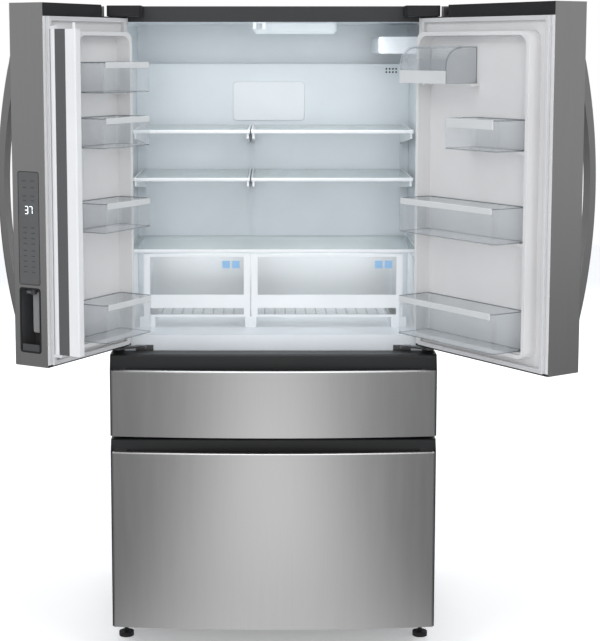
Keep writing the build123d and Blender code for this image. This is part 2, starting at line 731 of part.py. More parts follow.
def make_shelves():
    frames = []
    panes = []
    for height in SHELF_HEIGHTS:
        level = FRESH_Z0 + height
        for span in SHELF_SPANS:
            frame = shelf_frame(*span, level)
            frame += [shelf_arm(x, level) for x in arm_centres(*span)]
            frames.append(frame)
            panes.append(shelf_glass(*span, level))
    level = FRESH_Z0 + CRISPER_SHELF_H
    wide = LINER_X - 1
    frames.append(shelf_frame(-wide, wide, level))
    panes.append(shelf_glass(-wide, wide, level))
    return Compound(children=frames), Compound(children=panes)


def make_filter_panel():
    z = FRESH_Z0 + DUCT_H - FILTER_PANEL_DROP - FILTER_PANEL_H / 2
    centre = facing_back(FILTER_PANEL_X + FILTER_PANEL_W / 2, DUCT_Y - FILTER_PANEL_T, z)
    panel = extrude(centre * RectangleRounded(FILTER_PANEL_W, FILTER_PANEL_H, OPENING_R), FILTER_PANEL_T)
    return chamfer(panel.faces().sort_by(Axis.Y)[0].edges(), FILTER_PANEL_T / 3)


def make_light_cover():
    y0 = (INTERIOR_Y + DUCT_Y - LIGHT_D) / 2
    z0 = FRESH_Z1 - LIGHT_H
    lens = rounded_block(LIGHT_X, LIGHT_X + LIGHT_W, y0, y0 + LIGHT_D, z0, FRESH_Z1, OPENING_R)
    return chamfer(lens.edges().group_by(Axis.Z)[0], LIGHT_H / 4)


def make_filter_housing():
    front = FRONT_Y + WATER_FILTER_FRONT
    top = FRESH_Z1 - WATER_FILTER_DROP
    box = block(
        LINER_X - WATER_FILTER_W, LINER_X, front, front + WATER_FILTER_L, top - WATER_FILTER_H, top
    )
    return fillet(box.edges().filter_by(Axis.Y).group_by(Axis.X)[0], WATER_FILTER_H / 6)


def make_runners():
    """Three rails on the liner floor that the crisper pans slide on, tied by a bar at the back."""
    y1 = INTERIOR_Y + CRISPER_DEPTH
    z1 = FRESH_Z0 + RUNNER_H
    rails = block(
        SHELF_SPLIT_X - RUNNER_W / 2, SHELF_SPLIT_X + RUNNER_W / 2, INTERIOR_Y, y1, FRESH_Z0, z1
    )
    for side in (LEFT, RIGHT):
        rails += block(
            side * (CRISPER_HALF + RUNNER_BAR), side * (CRISPER_HALF - RUNNER_W), INTERIOR_Y, y1, FRESH_Z0, z1
        )
    return rails + block(-CRISPER_HALF, CRISPER_HALF, y1 - RUNNER_BAR, y1, FRESH_Z0, z1)


def make_crisper(x0, x1):
    """A clear pan and its white front with an upper window and a low slot."""
    z0 = FRESH_Z0 + RUNNER_H
    z1 = z0 + CRISPER_H
    pan_y = INTERIOR_Y + CRISPER_FRONT_T
    pan = rounded_block(x0, x1, pan_y, INTERIOR_Y + CRISPER_DEPTH, z0, z1, CRISPER_WALL + 1)
    pan -= block(
        x0 + CRISPER_WALL, x1 - CRISPER_WALL, pan_y + CRISPER_WALL,
        INTERIOR_Y + CRISPER_DEPTH - CRISPER_WALL, z0 + CRISPER_WALL, z1 + 1,
    )
    ridge_z = z0 + CRISPER_RIDGE_SHARE * CRISPER_H
    a = x0 + CRISPER_STILE
    b = x1 - CRISPER_STILE
    ridge = block(a + FIT, b - FIT, INTERIOR_Y + 1, pan_y, ridge_z, ridge_z + CRISPER_WALL)
    face = block(x0, x1, INTERIOR_Y, pan_y, z0, z1)
    slot_z0 = z0 + CRISPER_SLOT_Z
    slot_z1 = slot_z0 + CRISPER_SLOT_H
    face -= block(a, b, INTERIOR_Y - 1, pan_y + 1, slot_z0, slot_z1)
    face -= block(a, b, INTERIOR_Y - 1, pan_y + 1, slot_z1 + CRISPER_BAR_H, z1 - CRISPER_TOP_BAR)
    return pan + ridge, face


shelf_frames, shelf_panes = make_shelves()
left_pan, left_face = make_crisper(-CRISPER_HALF, SHELF_SPLIT_X - SHELF_GAP / 2)
right_pan, right_face = make_crisper(SHELF_SPLIT_X + SHELF_GAP / 2, CRISPER_HALF)
save(make_duct_cover(), "duct_cover")
save(make_filter_panel(), "air_filter_cover")
save(make_light_cover(), "light_cover")
save(make_filter_housing(), "water_filter_housing")
save(shelf_frames, "shelf_frames")
save(shelf_panes, "shelf_glass")
save(make_runners(), "crisper_runners")
save(left_pan, "left_crisper_pan")
save(left_face, "left_crisper_front")
save(right_pan, "right_crisper_pan")
save(right_face, "right_crisper_front")

# Hinges: a top pair under covers and a lower pair on the middle rail

COVER_Z = CAP_Z + COVER_LIFT
ARM_Z = COVER_Z + COVER_T + HINGE_ARM_T


def make_top_hinge():
    """Left top hinge: plate on the frame, arm over the door and a pin down into its cap."""
    x_out = -AXIS_X - HINGE_NOSE + COVER_T
    x_in = -AXIS_X + HINGE_PLATE_IN
    plate = block(x_out, x_in, FRONT_Y - HINGE_PLATE_T, FRONT_Y, COVER_Z, TOP_Z - 2 * COVER_T)
    arm = block(x_out, -AXIS_X + HINGE_NOSE, AXIS_Y, FRONT_Y - HINGE_PLATE_T, ARM_Z, ARM_Z + HINGE_ARM_T)
    nose = rod((-AXIS_X, AXIS_Y, ARM_Z), (0, 0, 1), HINGE_NOSE - COVER_T, HINGE_ARM_T)
    pin = rod((-AXIS_X, AXIS_Y, ARM_Z), (0, 0, -1), PIN_R, ARM_Z - CAP_Z + BOSS_DEPTH - CAP_PLATE_T)
    return plate + arm + nose + pin


def make_hinge_cover():
    x0 = -AXIS_X - HINGE_FROM_SIDE + COVER_T
    y0 = AXIS_Y - COVER_REACH
    cover = block(x0, x0 + COVER_W, y0, FRONT_Y, COVER_Z, TOP_Z)
    cover = fillet(cover.edges().filter_by(Axis.Z).group_by(Axis.Y)[0], COVER_R)
    cover = chamfer(cover.edges().group_by(Axis.Z)[-1].sort_by(Axis.Y)[:-1], COVER_T / 2)
    inside = block(
        x0 + COVER_T, x0 + COVER_W - COVER_T, y0 + COVER_T, FRONT_Y + 1, COVER_Z - 1, TOP_Z - COVER_T
    )
    return cover - inside


def make_lower_hinge():
    """Left lower hinge: plate on the middle rail, arm under the door and a pin up into its cap."""
    x_in = -AXIS_X + HINGE_PLATE_IN - COLLAR_R / 2
    plate_z = SILL_Z - HINGE_PLATE_Z
    plate_top = plate_z + HINGE_PLATE_H
    y1 = FRONT_Y - HINGE_PLATE_T
    plate_x = x_in - HINGE_NOSE
    plate = block(plate_x, plate_x + HINGE_PLATE_W, y1, FRONT_Y, plate_z, plate_top)
    near = AXIS_Y - HINGE_NOSE
    outline = make_face(Polyline(
        (-AXIS_X, near), (x_in, y1 - HINGE_NOSE), (x_in, y1), (-AXIS_X, AXIS_Y + HINGE_NOSE), close=True
    ))
    outline += Pos(x_in, y1 - HINGE_NOSE / 2) * Rectangle(2 * HINGE_NOSE, HINGE_NOSE)
    outline += Pos(-AXIS_X, AXIS_Y) * Circle(HINGE_NOSE)
    arm = Pos(0, 0, plate_top - HINGE_ARM_T) * extrude(outline, HINGE_ARM_T)
    collar = rod((-AXIS_X, AXIS_Y, plate_top), (0, 0, 1), COLLAR_R, DOOR_Z0 - FIT - plate_top)
    pin = rod((-AXIS_X, AXIS_Y, plate_top), (0, 0, 1), PIN_R, DOOR_Z0 + BOSS_DEPTH - CAP_PLATE_T - plate_top)
    return plate + arm + collar + pin


PIVOT_X = LEFT_FREE_X - MULLION_PIVOT_IN
PIVOT_Y = INNER_Y + GASKET_T + 2 * FIT + MULLION_T / 2
MULLION_Z0 = DOOR_Z0 + MULLION_ABOVE_BOTTOM
MULLION_Z1 = DOOR_Z1 - MULLION_BELOW_TOP


def make_mullion_guide():
    """Fork under the ceiling that the peg of the flip mullion enters as the left door shuts."""
    x = PIVOT_X + PEG_FROM_PIVOT
    half = GUIDE_SLOT / 2
    outer = half + GUIDE_WALL
    z0 = MULLION_Z1 + PEG_R
    fork = block(x - outer, x + outer, FOAM_FRONT, PIVOT_Y + 2 * GUIDE_SLOT, z0, FRESH_Z1)
    return fork - block(x - half, x + half, FRONT_Y - 1, PIVOT_Y + GUIDE_SLOT, z0 - 1, FRESH_Z1 - PEG_R)


left_top = make_top_hinge()
left_low = make_lower_hinge()
pairs = [left_top, mirror(left_top, about=Plane.YZ), left_low, mirror(left_low, about=Plane.YZ)]
save(Compound(children=pairs), "door_hinges")
save(mirrored(make_hinge_cover()), "hinge_covers")
save(Compound(children=[make_front_frame(), make_mullion_guide()]), "front_frame")

# Doors, built closed


def across(side, s):
    """X of a point that lies s in from the hinge-side edge of a door."""
    return side * (HALF_W - s)


def free_x(side):
    return LEFT_FREE_X if side == LEFT else RIGHT_FREE_X


def door_width(side):
    return LEFT_DOOR_W if side == LEFT else RIGHT_DOOR_W


def swing(shape, side):
    """Turns a closed door piece to its resting angle about the hinge pins."""
    angle = side * (LEFT_OPEN if side == LEFT else RIGHT_OPEN)
    return shape.rotate(Axis((side * AXIS_X, AXIS_Y, 0), (0, 0, 1)), angle)


def door_slab(side, back_y, z0, z1, inset=0.0):
    x0, x1 = sorted((side * HALF_W, free_x(side)))
    return bowed_slab(x0, x1, back_y, z0, z1, inset)


def axis_rod(side, radius, z0, z1):
    return rod((side * AXIS_X, AXIS_Y, z0), (0, 0, 1), radius, z1 - z0)


def control_pocket(grow):
    """The control panel's place in the free edge of the left door."""
    middle_y = (front_y(LEFT_FREE_X) + INNER_Y) / 2
    half = PANEL_W / 2 + grow
    z0 = DOOR_Z0 + PANEL_Z - grow
    z1 = DOOR_Z0 + PANEL_Z + PANEL_H + grow
    middle = Plane(origin=(LEFT_FREE_X - PANEL_T, middle_y, (z0 + z1) / 2), x_dir=(0, 1, 0), z_dir=(1, 0, 0))
    return extrude(middle * RectangleRounded(2 * half, z1 - z0, EDGE_R), PANEL_T)


def niche_space(depth, inset=0.0):
    """The dispenser recess in the free edge of the left door."""
    middle_y = (front_y(LEFT_FREE_X) + INNER_Y) / 2
    z0 = DOOR_Z0 + NICHE_Z + inset
    z1 = DOOR_Z0 + NICHE_Z + NICHE_H - inset
    middle = Plane(origin=(LEFT_FREE_X - depth, middle_y, (z0 + z1) / 2), x_dir=(0, 1, 0), z_dir=(1, 0, 0))
    return extrude(middle * RectangleRounded(PANEL_W - 2 * inset, z1 - z0, EDGE_R - inset), depth)


def make_door_skin(side):
    """Steel wrap over the front and both edges, cut away at the top for the hinge."""
    skin = door_slab(side, INNER_Y, DOOR_Z0, DOOR_Z1)
    skin -= door_slab(side, INNER_Y + 1, DOOR_Z0 - 1, DOOR_Z1 + 1, SHEET)
    skin -= block(
        across(side, -1), across(side, NOTCH_W / 2), EDGE_Y + EDGE_R, INNER_Y + 1, CAP_Z, DOOR_Z1 + 1
    )
    if side == LEFT:
        skin = skin - control_pocket(FIT) - niche_space(NICHE_D)
    return skin


def make_door_caps(side):
    """Top cap with its hinge notch, and the thin bottom cap, each with a bushing for a pin."""
    top = door_slab(side, INNER_Y, LINER_Z1, DOOR_Z1, SHEET + FIT)
    top -= block(across(side, -1), across(side, NOTCH_W), EDGE_Y - 2 * BOW, INNER_Y + 1, CAP_Z, DOOR_Z1 + 1)
    top += axis_rod(side, BOSS_R, CAP_Z - BOSS_DEPTH, CAP_Z)
    top -= axis_rod(side, PIN_R + PIN_CLEAR, CAP_Z - BOSS_DEPTH + PAN_T, CAP_Z + 1)
    low = door_slab(side, INNER_Y, DOOR_Z0, LINER_Z0, SHEET + FIT)
    low += axis_rod(side, BOSS_R, DOOR_Z0, DOOR_Z0 + BOSS_DEPTH)
    low -= axis_rod(side, PIN_R + PIN_CLEAR, DOOR_Z0 - 1, DOOR_Z0 + BOSS_DEPTH - PAN_T)
    return Compound(children=[top, low])


def dike_free_side(side):
    return LEFT_DIKE_FREE_SIDE if side == LEFT else RIGHT_DIKE_FREE_SIDE


def make_dike(side):
    """Raised rim of the door liner, drafted inside and out, that enters the cabinet opening."""
    s0 = DIKE_HINGE_SIDE
    s1 = door_width(side) - dike_free_side(side)
    height = DIKE_Z1 - DIKE_Z0
    middle = facing_back((across(side, s0) + across(side, s1)) / 2, INNER_Y, (DIKE_Z0 + DIKE_Z1) / 2)
    outer = extrude(middle * RectangleRounded(s1 - s0, height, DIKE_R), DIKE_H, taper=DIKE_DRAFT / 2)
    hollow = Rectangle(s1 - s0 - 2 * DIKE_W, height - 2 * DIKE_W)
    corners = hollow.vertices().sort_by(Axis.Y)
    hollow = fillet(corners[:2], DIKE_R)
    hollow = fillet(hollow.vertices().sort_by(Axis.Y)[-2:], DIKE_LOW_R)
    return outer - extrude(middle * hollow, DIKE_H + 1, taper=-DIKE_DRAFT)


def bin_level(share):
    return BIN_SPACE_Z0 + share * BIN_SPACE_H


def bin_spans(side):
    """Each bin of a door: hinge-side end, free-side end, level of its floor, height, rail."""
    end = door_width(side) - dike_free_side(side) - DIKE_W
    if side == LEFT:
        return [(BIN_START, end - LEFT_BIN_GAP, bin_level(share), h, BIN_RAIL_H) for share, h in LEFT_BINS]
    end -= RIGHT_BIN_GAP
    full = [(BIN_START, end, bin_level(share), h, BIN_RAIL_H) for share, h in RIGHT_BINS]
    share, height = HALF_BIN
    return full + [(HALF_BIN_START, end, bin_level(share), height, HALF_RAIL_H)]


def lug(side, s0, s1, top):
    """A ledge on the liner that carries one end of a bin."""
    return block(across(side, s0), across(side, s1), INNER_Y, INNER_Y + LUG_D, top - LUG_T, top)


def make_lugs(side):
    free_wall = door_width(side) - dike_free_side(side) - DIKE_W
    lugs = []
    for s0, s1, z, height, rail in bin_spans(side):
        hinge_wall = DIKE_HINGE_SIDE + DIKE_W if s0 == BIN_START else s0 - LUG_GRIP
        lugs.append(lug(side, hinge_wall - 1, s0 + LUG_GRIP, z))
        lugs.append(lug(side, s1 - LUG_GRIP, free_wall + 1, z))
    if side == RIGHT:
        lugs.append(lug(side, DIKE_HINGE_SIDE + DIKE_W - 1, BIN_START + LUG_GRIP, DAIRY_Z0))
        lugs.append(lug(side, DAIRY_END - LUG_GRIP, DAIRY_END + LUG_GRIP, DAIRY_Z0))
    return lugs


def make_mullion_brackets():
    """Two brackets beside the gasket that hold the mullion's pins."""
    root_x = LEFT_FREE_X - GASKET_FREE_SIDE - GASKET_W - FIT
    foot_x = root_x - MULLION_T
    brackets = []
    for z0 in (MULLION_Z0 - FIT - MULLION_BRACKET_T, MULLION_Z1 + FIT):
        z1 = z0 + MULLION_BRACKET_T
        foot = block(foot_x, root_x, INNER_Y, PIVOT_Y, z0, z1)
        arm = block(foot_x, PIVOT_X + MULLION_T / 3, PIVOT_Y - MULLION_T / 2, PIVOT_Y + MULLION_T / 2, z0, z1)
        hole = rod((PIVOT_X, PIVOT_Y, z0 - 1), (0, 0, 1), MULLION_PIN_R + PIN_CLEAR, MULLION_BRACKET_T + 2)
        brackets.append(foot + arm - hole)
    return brackets


def make_door_liner(side):
    """Foamed inner door: flat land for the gasket, the dike, and the ledges for the bins."""
    liner = door_slab(side, INNER_Y, LINER_Z0, LINER_Z1, SHEET)
    liner += make_dike(side)
    liner += make_lugs(side)
    liner -= axis_rod(side, BOSS_R, CAP_Z - BOSS_DEPTH, LINER_Z1 + 1)
    liner -= axis_rod(side, BOSS_R, LINER_Z0 - 1, DOOR_Z0 + BOSS_DEPTH)
    if side == LEFT:
        liner = liner - control_pocket(FIT) - niche_space(NICHE_D)
        liner += make_mullion_brackets()
    return liner


def make_door_gasket(side):
    x0 = across(side, GASKET_HINGE_SIDE)
    x1 = across(side, door_width(side) - GASKET_FREE_SIDE)
    return ring(x0, x1, LINER_Z0 + FIT, LINER_Z1 - FIT, GASKET_W, INNER_Y, INNER_Y + GASKET_T)


def make_handle(side):
    """Crescent bow with blunt ends, turned to sit flat on the curved front near the free edge."""
    base = EDGE_Y - BOW
    crown = base - HANDLE_RISE
    z0 = DOOR_Z0 + HANDLE_Z
    z1 = z0 + HANDLE_L
    middle = (z0 + z1) / 2
    crescent = make_face([
        ThreePointArc((base - HANDLE_TIP, z0), (crown, middle), (base - HANDLE_TIP, z1)),
        Line((base - HANDLE_TIP, z1), (base, z1)),
        Line((base, z1), (base, z1 - HANDLE_FOOT)),
        ThreePointArc((base, z1 - HANDLE_FOOT), (crown + HANDLE_BAR, middle), (base, z0 + HANDLE_FOOT)),
        Line((base, z0 + HANDLE_FOOT), (base, z0)),
        Line((base, z0), (base - HANDLE_TIP, z0)),
    ])
    plane = Plane(origin=(-HANDLE_BAR / 2, 0, 0), x_dir=(0, 1, 0), z_dir=(1, 0, 0))
    bar = extrude(plane * crescent, HANDLE_BAR)
    outer = bar.edges().filter_by(GeomType.CIRCLE).sort_by(Axis.Y)[:2]
    bar = fillet(outer, HANDLE_R)
    turn = degrees(asin((free_x(side) + side * HANDLE_FROM_EDGE) / BOW_R))
    return bar.rotate(Axis((0, BOW_Y, 0), (0, 0, 1)), turn)


def make_bin(side, s0, s1, z0, height):
    y0 = INNER_Y + FIT
    y1 = INNER_Y + BIN_DEPTH
    wall = BIN_WALL
    tub = rounded_block(across(side, s0), across(side, s1), y0, y1, z0, z0 + height, BIN_R)
    a = across(side, s0 + wall)
    b = across(side, s1 - wall)
    return tub - rounded_block(a, b, y0 + wall, y1 - wall, z0 + wall, z0 + height + 1, BIN_R - wall)


def make_bin_rail(side, s0, s1, z0, height, rail_h):
    z1 = z0 + height
    y1 = INNER_Y + BIN_DEPTH
    rail = block(across(side, s0 + BIN_R), across(side, s1 - BIN_R), y1, y1 + BIN_RAIL_T, z1 - rail_h, z1)
    return chamfer(rail.faces().sort_by(Axis.Y)[-1].edges(), BIN_RAIL_T / 3)


def make_bins(side):
    tubs = []
    rails = []
    for s0, s1, z, height, rail_h in bin_spans(side):
        tubs.append(swing(make_bin(side, s0, s1, z, height), side))
        rails.append(swing(make_bin_rail(side, s0, s1, z, height, rail_h), side))
    return tubs, rails


def dairy_profile(thick):
    """Side view of the dairy box in depth and height, without the curved cover above it."""
    z0 = DAIRY_Z0
    front = INNER_Y + BIN_DEPTH - thick
    top = z0 + DAIRY_H - thick
    shelf = INNER_Y + DAIRY_TOP_D
    lip = z0 + DAIRY_FRONT_H
    bend = (shelf + DAIRY_BEND_OUT * (front - shelf), lip + DAIRY_BEND_UP * (top - lip))
    return make_face([
        Line((INNER_Y + FIT, z0), (front, z0)),
        Line((front, z0), (front, lip)),
        ThreePointArc((front, lip), bend, (shelf, top)),
        Line((shelf, top), (INNER_Y + FIT, top)),
        Line((INNER_Y + FIT, top), (INNER_Y + FIT, z0)),
    ])


def side_plane(x):
    return Plane(origin=(x, 0, 0), x_dir=(0, 1, 0), z_dir=(1, 0, 0))


DAIRY_AXIS_Y = INNER_Y + DAIRY_TOP_D
DAIRY_AXIS_Z = DAIRY_Z0 + DAIRY_H - DAIRY_PIN_DROP


def make_dairy():
    """Covered box at the top of the right door, and its curved lid on two pins."""
    x1 = across(RIGHT, BIN_START)
    x0 = across(RIGHT, DAIRY_END)
    z0 = DAIRY_Z0
    low = DAIRY_LID_T + FIT
    box = extrude(side_plane(x0) * dairy_profile(low), x1 - x0)
    box -= block(
        x0 + BIN_WALL, x1 - BIN_WALL, INNER_Y + FIT + BIN_WALL, INNER_Y + BIN_DEPTH - low - BIN_WALL,
        z0 + BIN_WALL, z0 + DAIRY_H,
    )
    pin_y, pin_z = DAIRY_AXIS_Y, DAIRY_AXIS_Z
    box -= rod((x0 - 1, pin_y, pin_z), (1, 0, 0), DAIRY_PIN_R + PIN_CLEAR, x1 - x0 + 2)
    box -= rod((x0 + BIN_WALL, pin_y, pin_z), (1, 0, 0), DAIRY_BARREL_R + FIT, x1 - x0 - 2 * BIN_WALL)
    z_lip = z0 + DAIRY_FRONT_H
    lid = extrude(side_plane(x0) * (dairy_profile(0) - dairy_profile(DAIRY_LID_T)), x1 - x0)
    lid = lid & block(x0, x1, INNER_Y + DAIRY_TOP_D, INNER_Y + BIN_DEPTH + 1, z_lip + FIT, z0 + 2 * DAIRY_H)
    inner_x0 = x0 + BIN_WALL + FIT
    inner_l = x1 - x0 - 2 * (BIN_WALL + FIT)
    ear = 2 * DAIRY_BARREL_R
    for a, b in ((x0 - 1, inner_x0), (inner_x0 + inner_l, x1 + 1)):
        lid -= block(a, b, pin_y - ear, pin_y + ear, pin_z - ear, pin_z + ear)
    lid += rod((inner_x0, pin_y, pin_z), (1, 0, 0), DAIRY_BARREL_R, inner_l)
    lid += rod((x0 + FIT, pin_y, pin_z), (1, 0, 0), DAIRY_PIN_R, x1 - x0 - 2 * FIT)
    front = INNER_Y + BIN_DEPTH - low
    rail = block(x0 + FIT, x1 - FIT, front, front + BIN_RAIL_T, z0, z_lip - FIT)
    return box, lid, rail


def make_niche():
    """Lined recess with a nozzle above and a drip lip below."""
    shell = niche_space(NICHE_D) - niche_space(NICHE_D - NICHE_T, NICHE_T)
    middle_y = (front_y(LEFT_FREE_X) + INNER_Y) / 2
    top = DOOR_Z0 + NICHE_Z + NICHE_H - NICHE_T
    nozzle = rod((LEFT_FREE_X - NICHE_D / 4, middle_y, top), (0, 0, -1), NOZZLE_R, 2 * NOZZLE_R)
    floor = DOOR_Z0 + NICHE_Z + NICHE_T
    lip = block(
        LEFT_FREE_X - NICHE_T, LEFT_FREE_X, middle_y - PANEL_W / 2 + EDGE_R, middle_y + PANEL_W / 2 - EDGE_R,
        floor, floor + 4 * PADDLE_BARREL_R,
    )
    pins = paddle_pin(PANEL_W - NICHE_T, PADDLE_PIN_R + PIN_CLEAR)
    return shell + nozzle + lip - pins


PADDLE_X = LEFT_FREE_X - PADDLE_DEPTH
PADDLE_Z = DOOR_Z0 + NICHE_Z + NICHE_H - 3 * PADDLE_BARREL_R
PADDLE_Y = (front_y(LEFT_FREE_X) + INNER_Y) / 2


def paddle_pin(length, radius):
    return rod((PADDLE_X, PADDLE_Y - length / 2, PADDLE_Z), (0, 1, 0), radius, length)


def make_paddle():
    """Lever that hangs from two pins in the sides of the recess."""
    inner = PANEL_W - 2 * NICHE_T - 2 * FIT
    lever = paddle_pin(inner, PADDLE_BARREL_R) + paddle_pin(PANEL_W - NICHE_T - FIT, PADDLE_PIN_R)
    root = (PADDLE_X - PADDLE_T / 2, PADDLE_Y, PADDLE_Z - PADDLE_H / 2)
    back = Plane(origin=root, x_dir=(0, 1, 0), z_dir=(1, 0, 0))
    return lever + extrude(back * RectangleRounded(PADDLE_W, PADDLE_H, PADDLE_T), PADDLE_T)


def make_mullion():
    """Folded flip bar: a bar rounded about its pivot, with pins, a guide peg and a sealing plate."""
    half = MULLION_T / 2
    far = PIVOT_Y + MULLION_REACH
    bar = make_face([
        ThreePointArc((PIVOT_X + half, PIVOT_Y), (PIVOT_X, PIVOT_Y - half), (PIVOT_X - half, PIVOT_Y)),
        Line((PIVOT_X - half, PIVOT_Y), (PIVOT_X - half, far)),
        Line((PIVOT_X - half, far), (PIVOT_X + half, far)),
        Line((PIVOT_X + half, far), (PIVOT_X + half, PIVOT_Y)),
    ])
    bar = fillet(bar.vertices().sort_by(Axis.Y)[-2:], half / 3)
    body = Pos(0, 0, MULLION_Z0) * extrude(bar, MULLION_Z1 - MULLION_Z0)
    length = MULLION_BRACKET_T
    body += rod((PIVOT_X, PIVOT_Y, MULLION_Z1), (0, 0, 1), MULLION_PIN_R, length)
    body += rod((PIVOT_X, PIVOT_Y, MULLION_Z0), (0, 0, -1), MULLION_PIN_R, length)
    body += rod((PIVOT_X, PIVOT_Y + PEG_FROM_PIVOT, MULLION_Z1), (0, 0, 1), PEG_R, 4 * PEG_R)
    plate_y = PIVOT_Y + MULLION_PIVOT_IN + DOOR_GAP / 2
    plate = block(
        PIVOT_X + half - MULLION_PLATE_T, PIVOT_X + half, plate_y - MULLION_PLATE_W / 2,
        plate_y + MULLION_PLATE_W / 2, MULLION_Z0, MULLION_Z1,
    )
    return body - plate, plate


for side, name in ((LEFT, "left"), (RIGHT, "right")):
    save(swing(make_door_skin(side), side), name + "_door_skin")
    save(swing(make_door_caps(side), side), name + "_door_caps")
    save(swing(make_door_liner(side), side), name + "_door_liner")
    save(swing(make_door_gasket(side), side), name + "_door_gasket")
    save(swing(make_handle(side), side), name + "_door_handle")

left_tubs, left_rails = make_bins(LEFT)
right_tubs, right_rails = make_bins(RIGHT)
dairy_box, dairy_lid, dairy_rail = make_dairy()
mullion_body, mullion_plate = make_mullion()
save(Compound(children=left_tubs), "left_door_bins")
save(Compound(children=left_rails), "left_bin_rails")
save(Compound(children=right_tubs), "right_door_bins")
save(Compound(children=right_rails + [swing(dairy_rail, RIGHT)]), "right_bin_rails")
save(swing(dairy_box, RIGHT), "dairy_bin")
save(swing(dairy_lid, RIGHT), "dairy_lid")
save(swing(control_pocket(0), LEFT), "control_panel")
save(swing(make_niche(), LEFT), "dispenser_niche")
save(swing(make_paddle(), LEFT), "dispenser_paddle")
save(swing(mullion_body, LEFT), "mullion_body")
save(swing(mullion_plate, LEFT), "mullion_plate")

# Drawers: bowed steel front, dark inner panel with its ledge wall, gasket, basket and slides

FLEX_FRONT_Z0 = FLEX_Z0 - FLEX_FRONT_DROP
FLEX_FRONT_Z1 = FLEX_Z1 + FLEX_FRONT_RISE
FLEX_WALL_Z1 = DOOR_Z0 - WALL_TOP_GAP
FREEZER_FRONT_Z0 = FREEZER_Z0 - FREEZER_FRONT_DROP
FREEZER_FRONT_Z1 = FREEZER_Z1 - FREEZER_FRONT_SHORT
FREEZER_WALL_Z1 = FLEX_FRONT_Z0 - FRONT_GAP
SLIDE_FACE = LINER_X - SLIDE_T


def front_shape(z0, z1, inset, back_y, finish_edge=fillet):
    """The steel front as a full body, with its upper edge rounded or sloped."""
    edge = HALF_W - SIDE_TRIM
    body = bowed_slab(-edge, edge, back_y, z0 + inset, z1 - inset, inset)
    top = body.edges().group_by(Axis.Z)[-1].sort_by(Axis.Y)[:-1]
    return finish_edge(top, LEDGE_R - inset)


def make_drawer_front(z0, z1, wall_z1):
    filler = front_shape(z0, z1, SHEET, WALL_Y, chamfer)
    skin = front_shape(z0, z1, 0, WALL_Y) - front_shape(z0, z1, SHEET, WALL_Y + LEDGE_R, chamfer)
    panel = block(-HALF_W, HALF_W, WALL_Y, INNER_Y, z0, wall_z1)
    panel = fillet(panel.edges().group_by(Axis.Z)[-1].filter_by(Axis.X), EDGE_R)
    profile = make_face(Polyline(
        (WALL_Y, z0), (WALL_Y, wall_z1 - EDGE_R), (EDGE_Y + EDGE_R, z1), (EDGE_Y + EDGE_R, z0), close=True
    ))
    cheek = extrude(side_plane(-HALF_W) * profile, SIDE_TRIM)
    panel = panel + filler + cheek + mirror(cheek, about=Plane.YZ)
    end = HALF_W - PULL_FROM_SIDE + PULL_LIP
    scoop = bowed_slab(-end, end, WALL_Y, z1 - PULL_DEPTH, z1 + 1, PULL_LIP)
    return skin - scoop, panel - scoop


def make_drawer_gasket(z0, z1):
    x1 = LINER_X + GASKET_W
    return ring(-x1, x1, z0 - GASKET_W, z1 + GASKET_W, GASKET_W, INNER_Y, INNER_Y + GASKET_T)


def slide_z(z0, height):
    return z0 + height - SLIDE_H / 2


def channel(x_face, x_back, z, half, wall, y0):
    """A rail with its open side towards the basket."""
    bar = block(x_face, x_back, y0, y0 + SLIDE_L, z - half, z + half)
    return bar - block(x_face - 1, x_back - wall, y0 - 1, y0 + SLIDE_L + 1, z - half + wall, z + half - wall)


def make_slides(z):
    """The fixed and the middle rail of both sides, nested at rest."""
    y0 = FOAM_FRONT + GASKET_GAP
    face = SLIDE_FACE + SLIDE_WALL + SLIDE_GAP
    fixed = channel(face, LINER_X, z, SLIDE_H / 2, SLIDE_WALL, y0)
    step = SLIDE_WALL + SLIDE_GAP
    middle = channel(face, LINER_X - step, z, SLIDE_H / 2 - step, SLIDE_WALL, y0)
    return mirrored(fixed), mirrored(middle)


def make_basket(z0, height, depth, rail_z):
    """Open basket hung on the inner panel, with the runner of its slide on each side."""
    y1 = INNER_Y + depth
    tub = block(-SLIDE_FACE, SLIDE_FACE, INNER_Y, y1, z0, z0 + height)
    tub = fillet(tub.edges().filter_by(Axis.Z), BASKET_R)
    inner = SLIDE_FACE - BASKET_WALL
    hollow = block(-inner, inner, INNER_Y + BASKET_WALL, y1 - BASKET_WALL, z0 + BASKET_WALL, z0 + height + 1)
    tub -= fillet(hollow.edges().filter_by(Axis.Z), BASKET_R - BASKET_WALL)
    step = 2 * (SLIDE_WALL + SLIDE_GAP)
    half = SLIDE_H / 2 - step
    y0 = FOAM_FRONT + GASKET_GAP
    root_x = SLIDE_FACE - BASKET_WALL / 2
    runner = block(root_x, LINER_X - step, y0, y1 - BASKET_R, rail_z - half, rail_z + half)
    return tub + runner + mirror(runner, about=Plane.YZ)


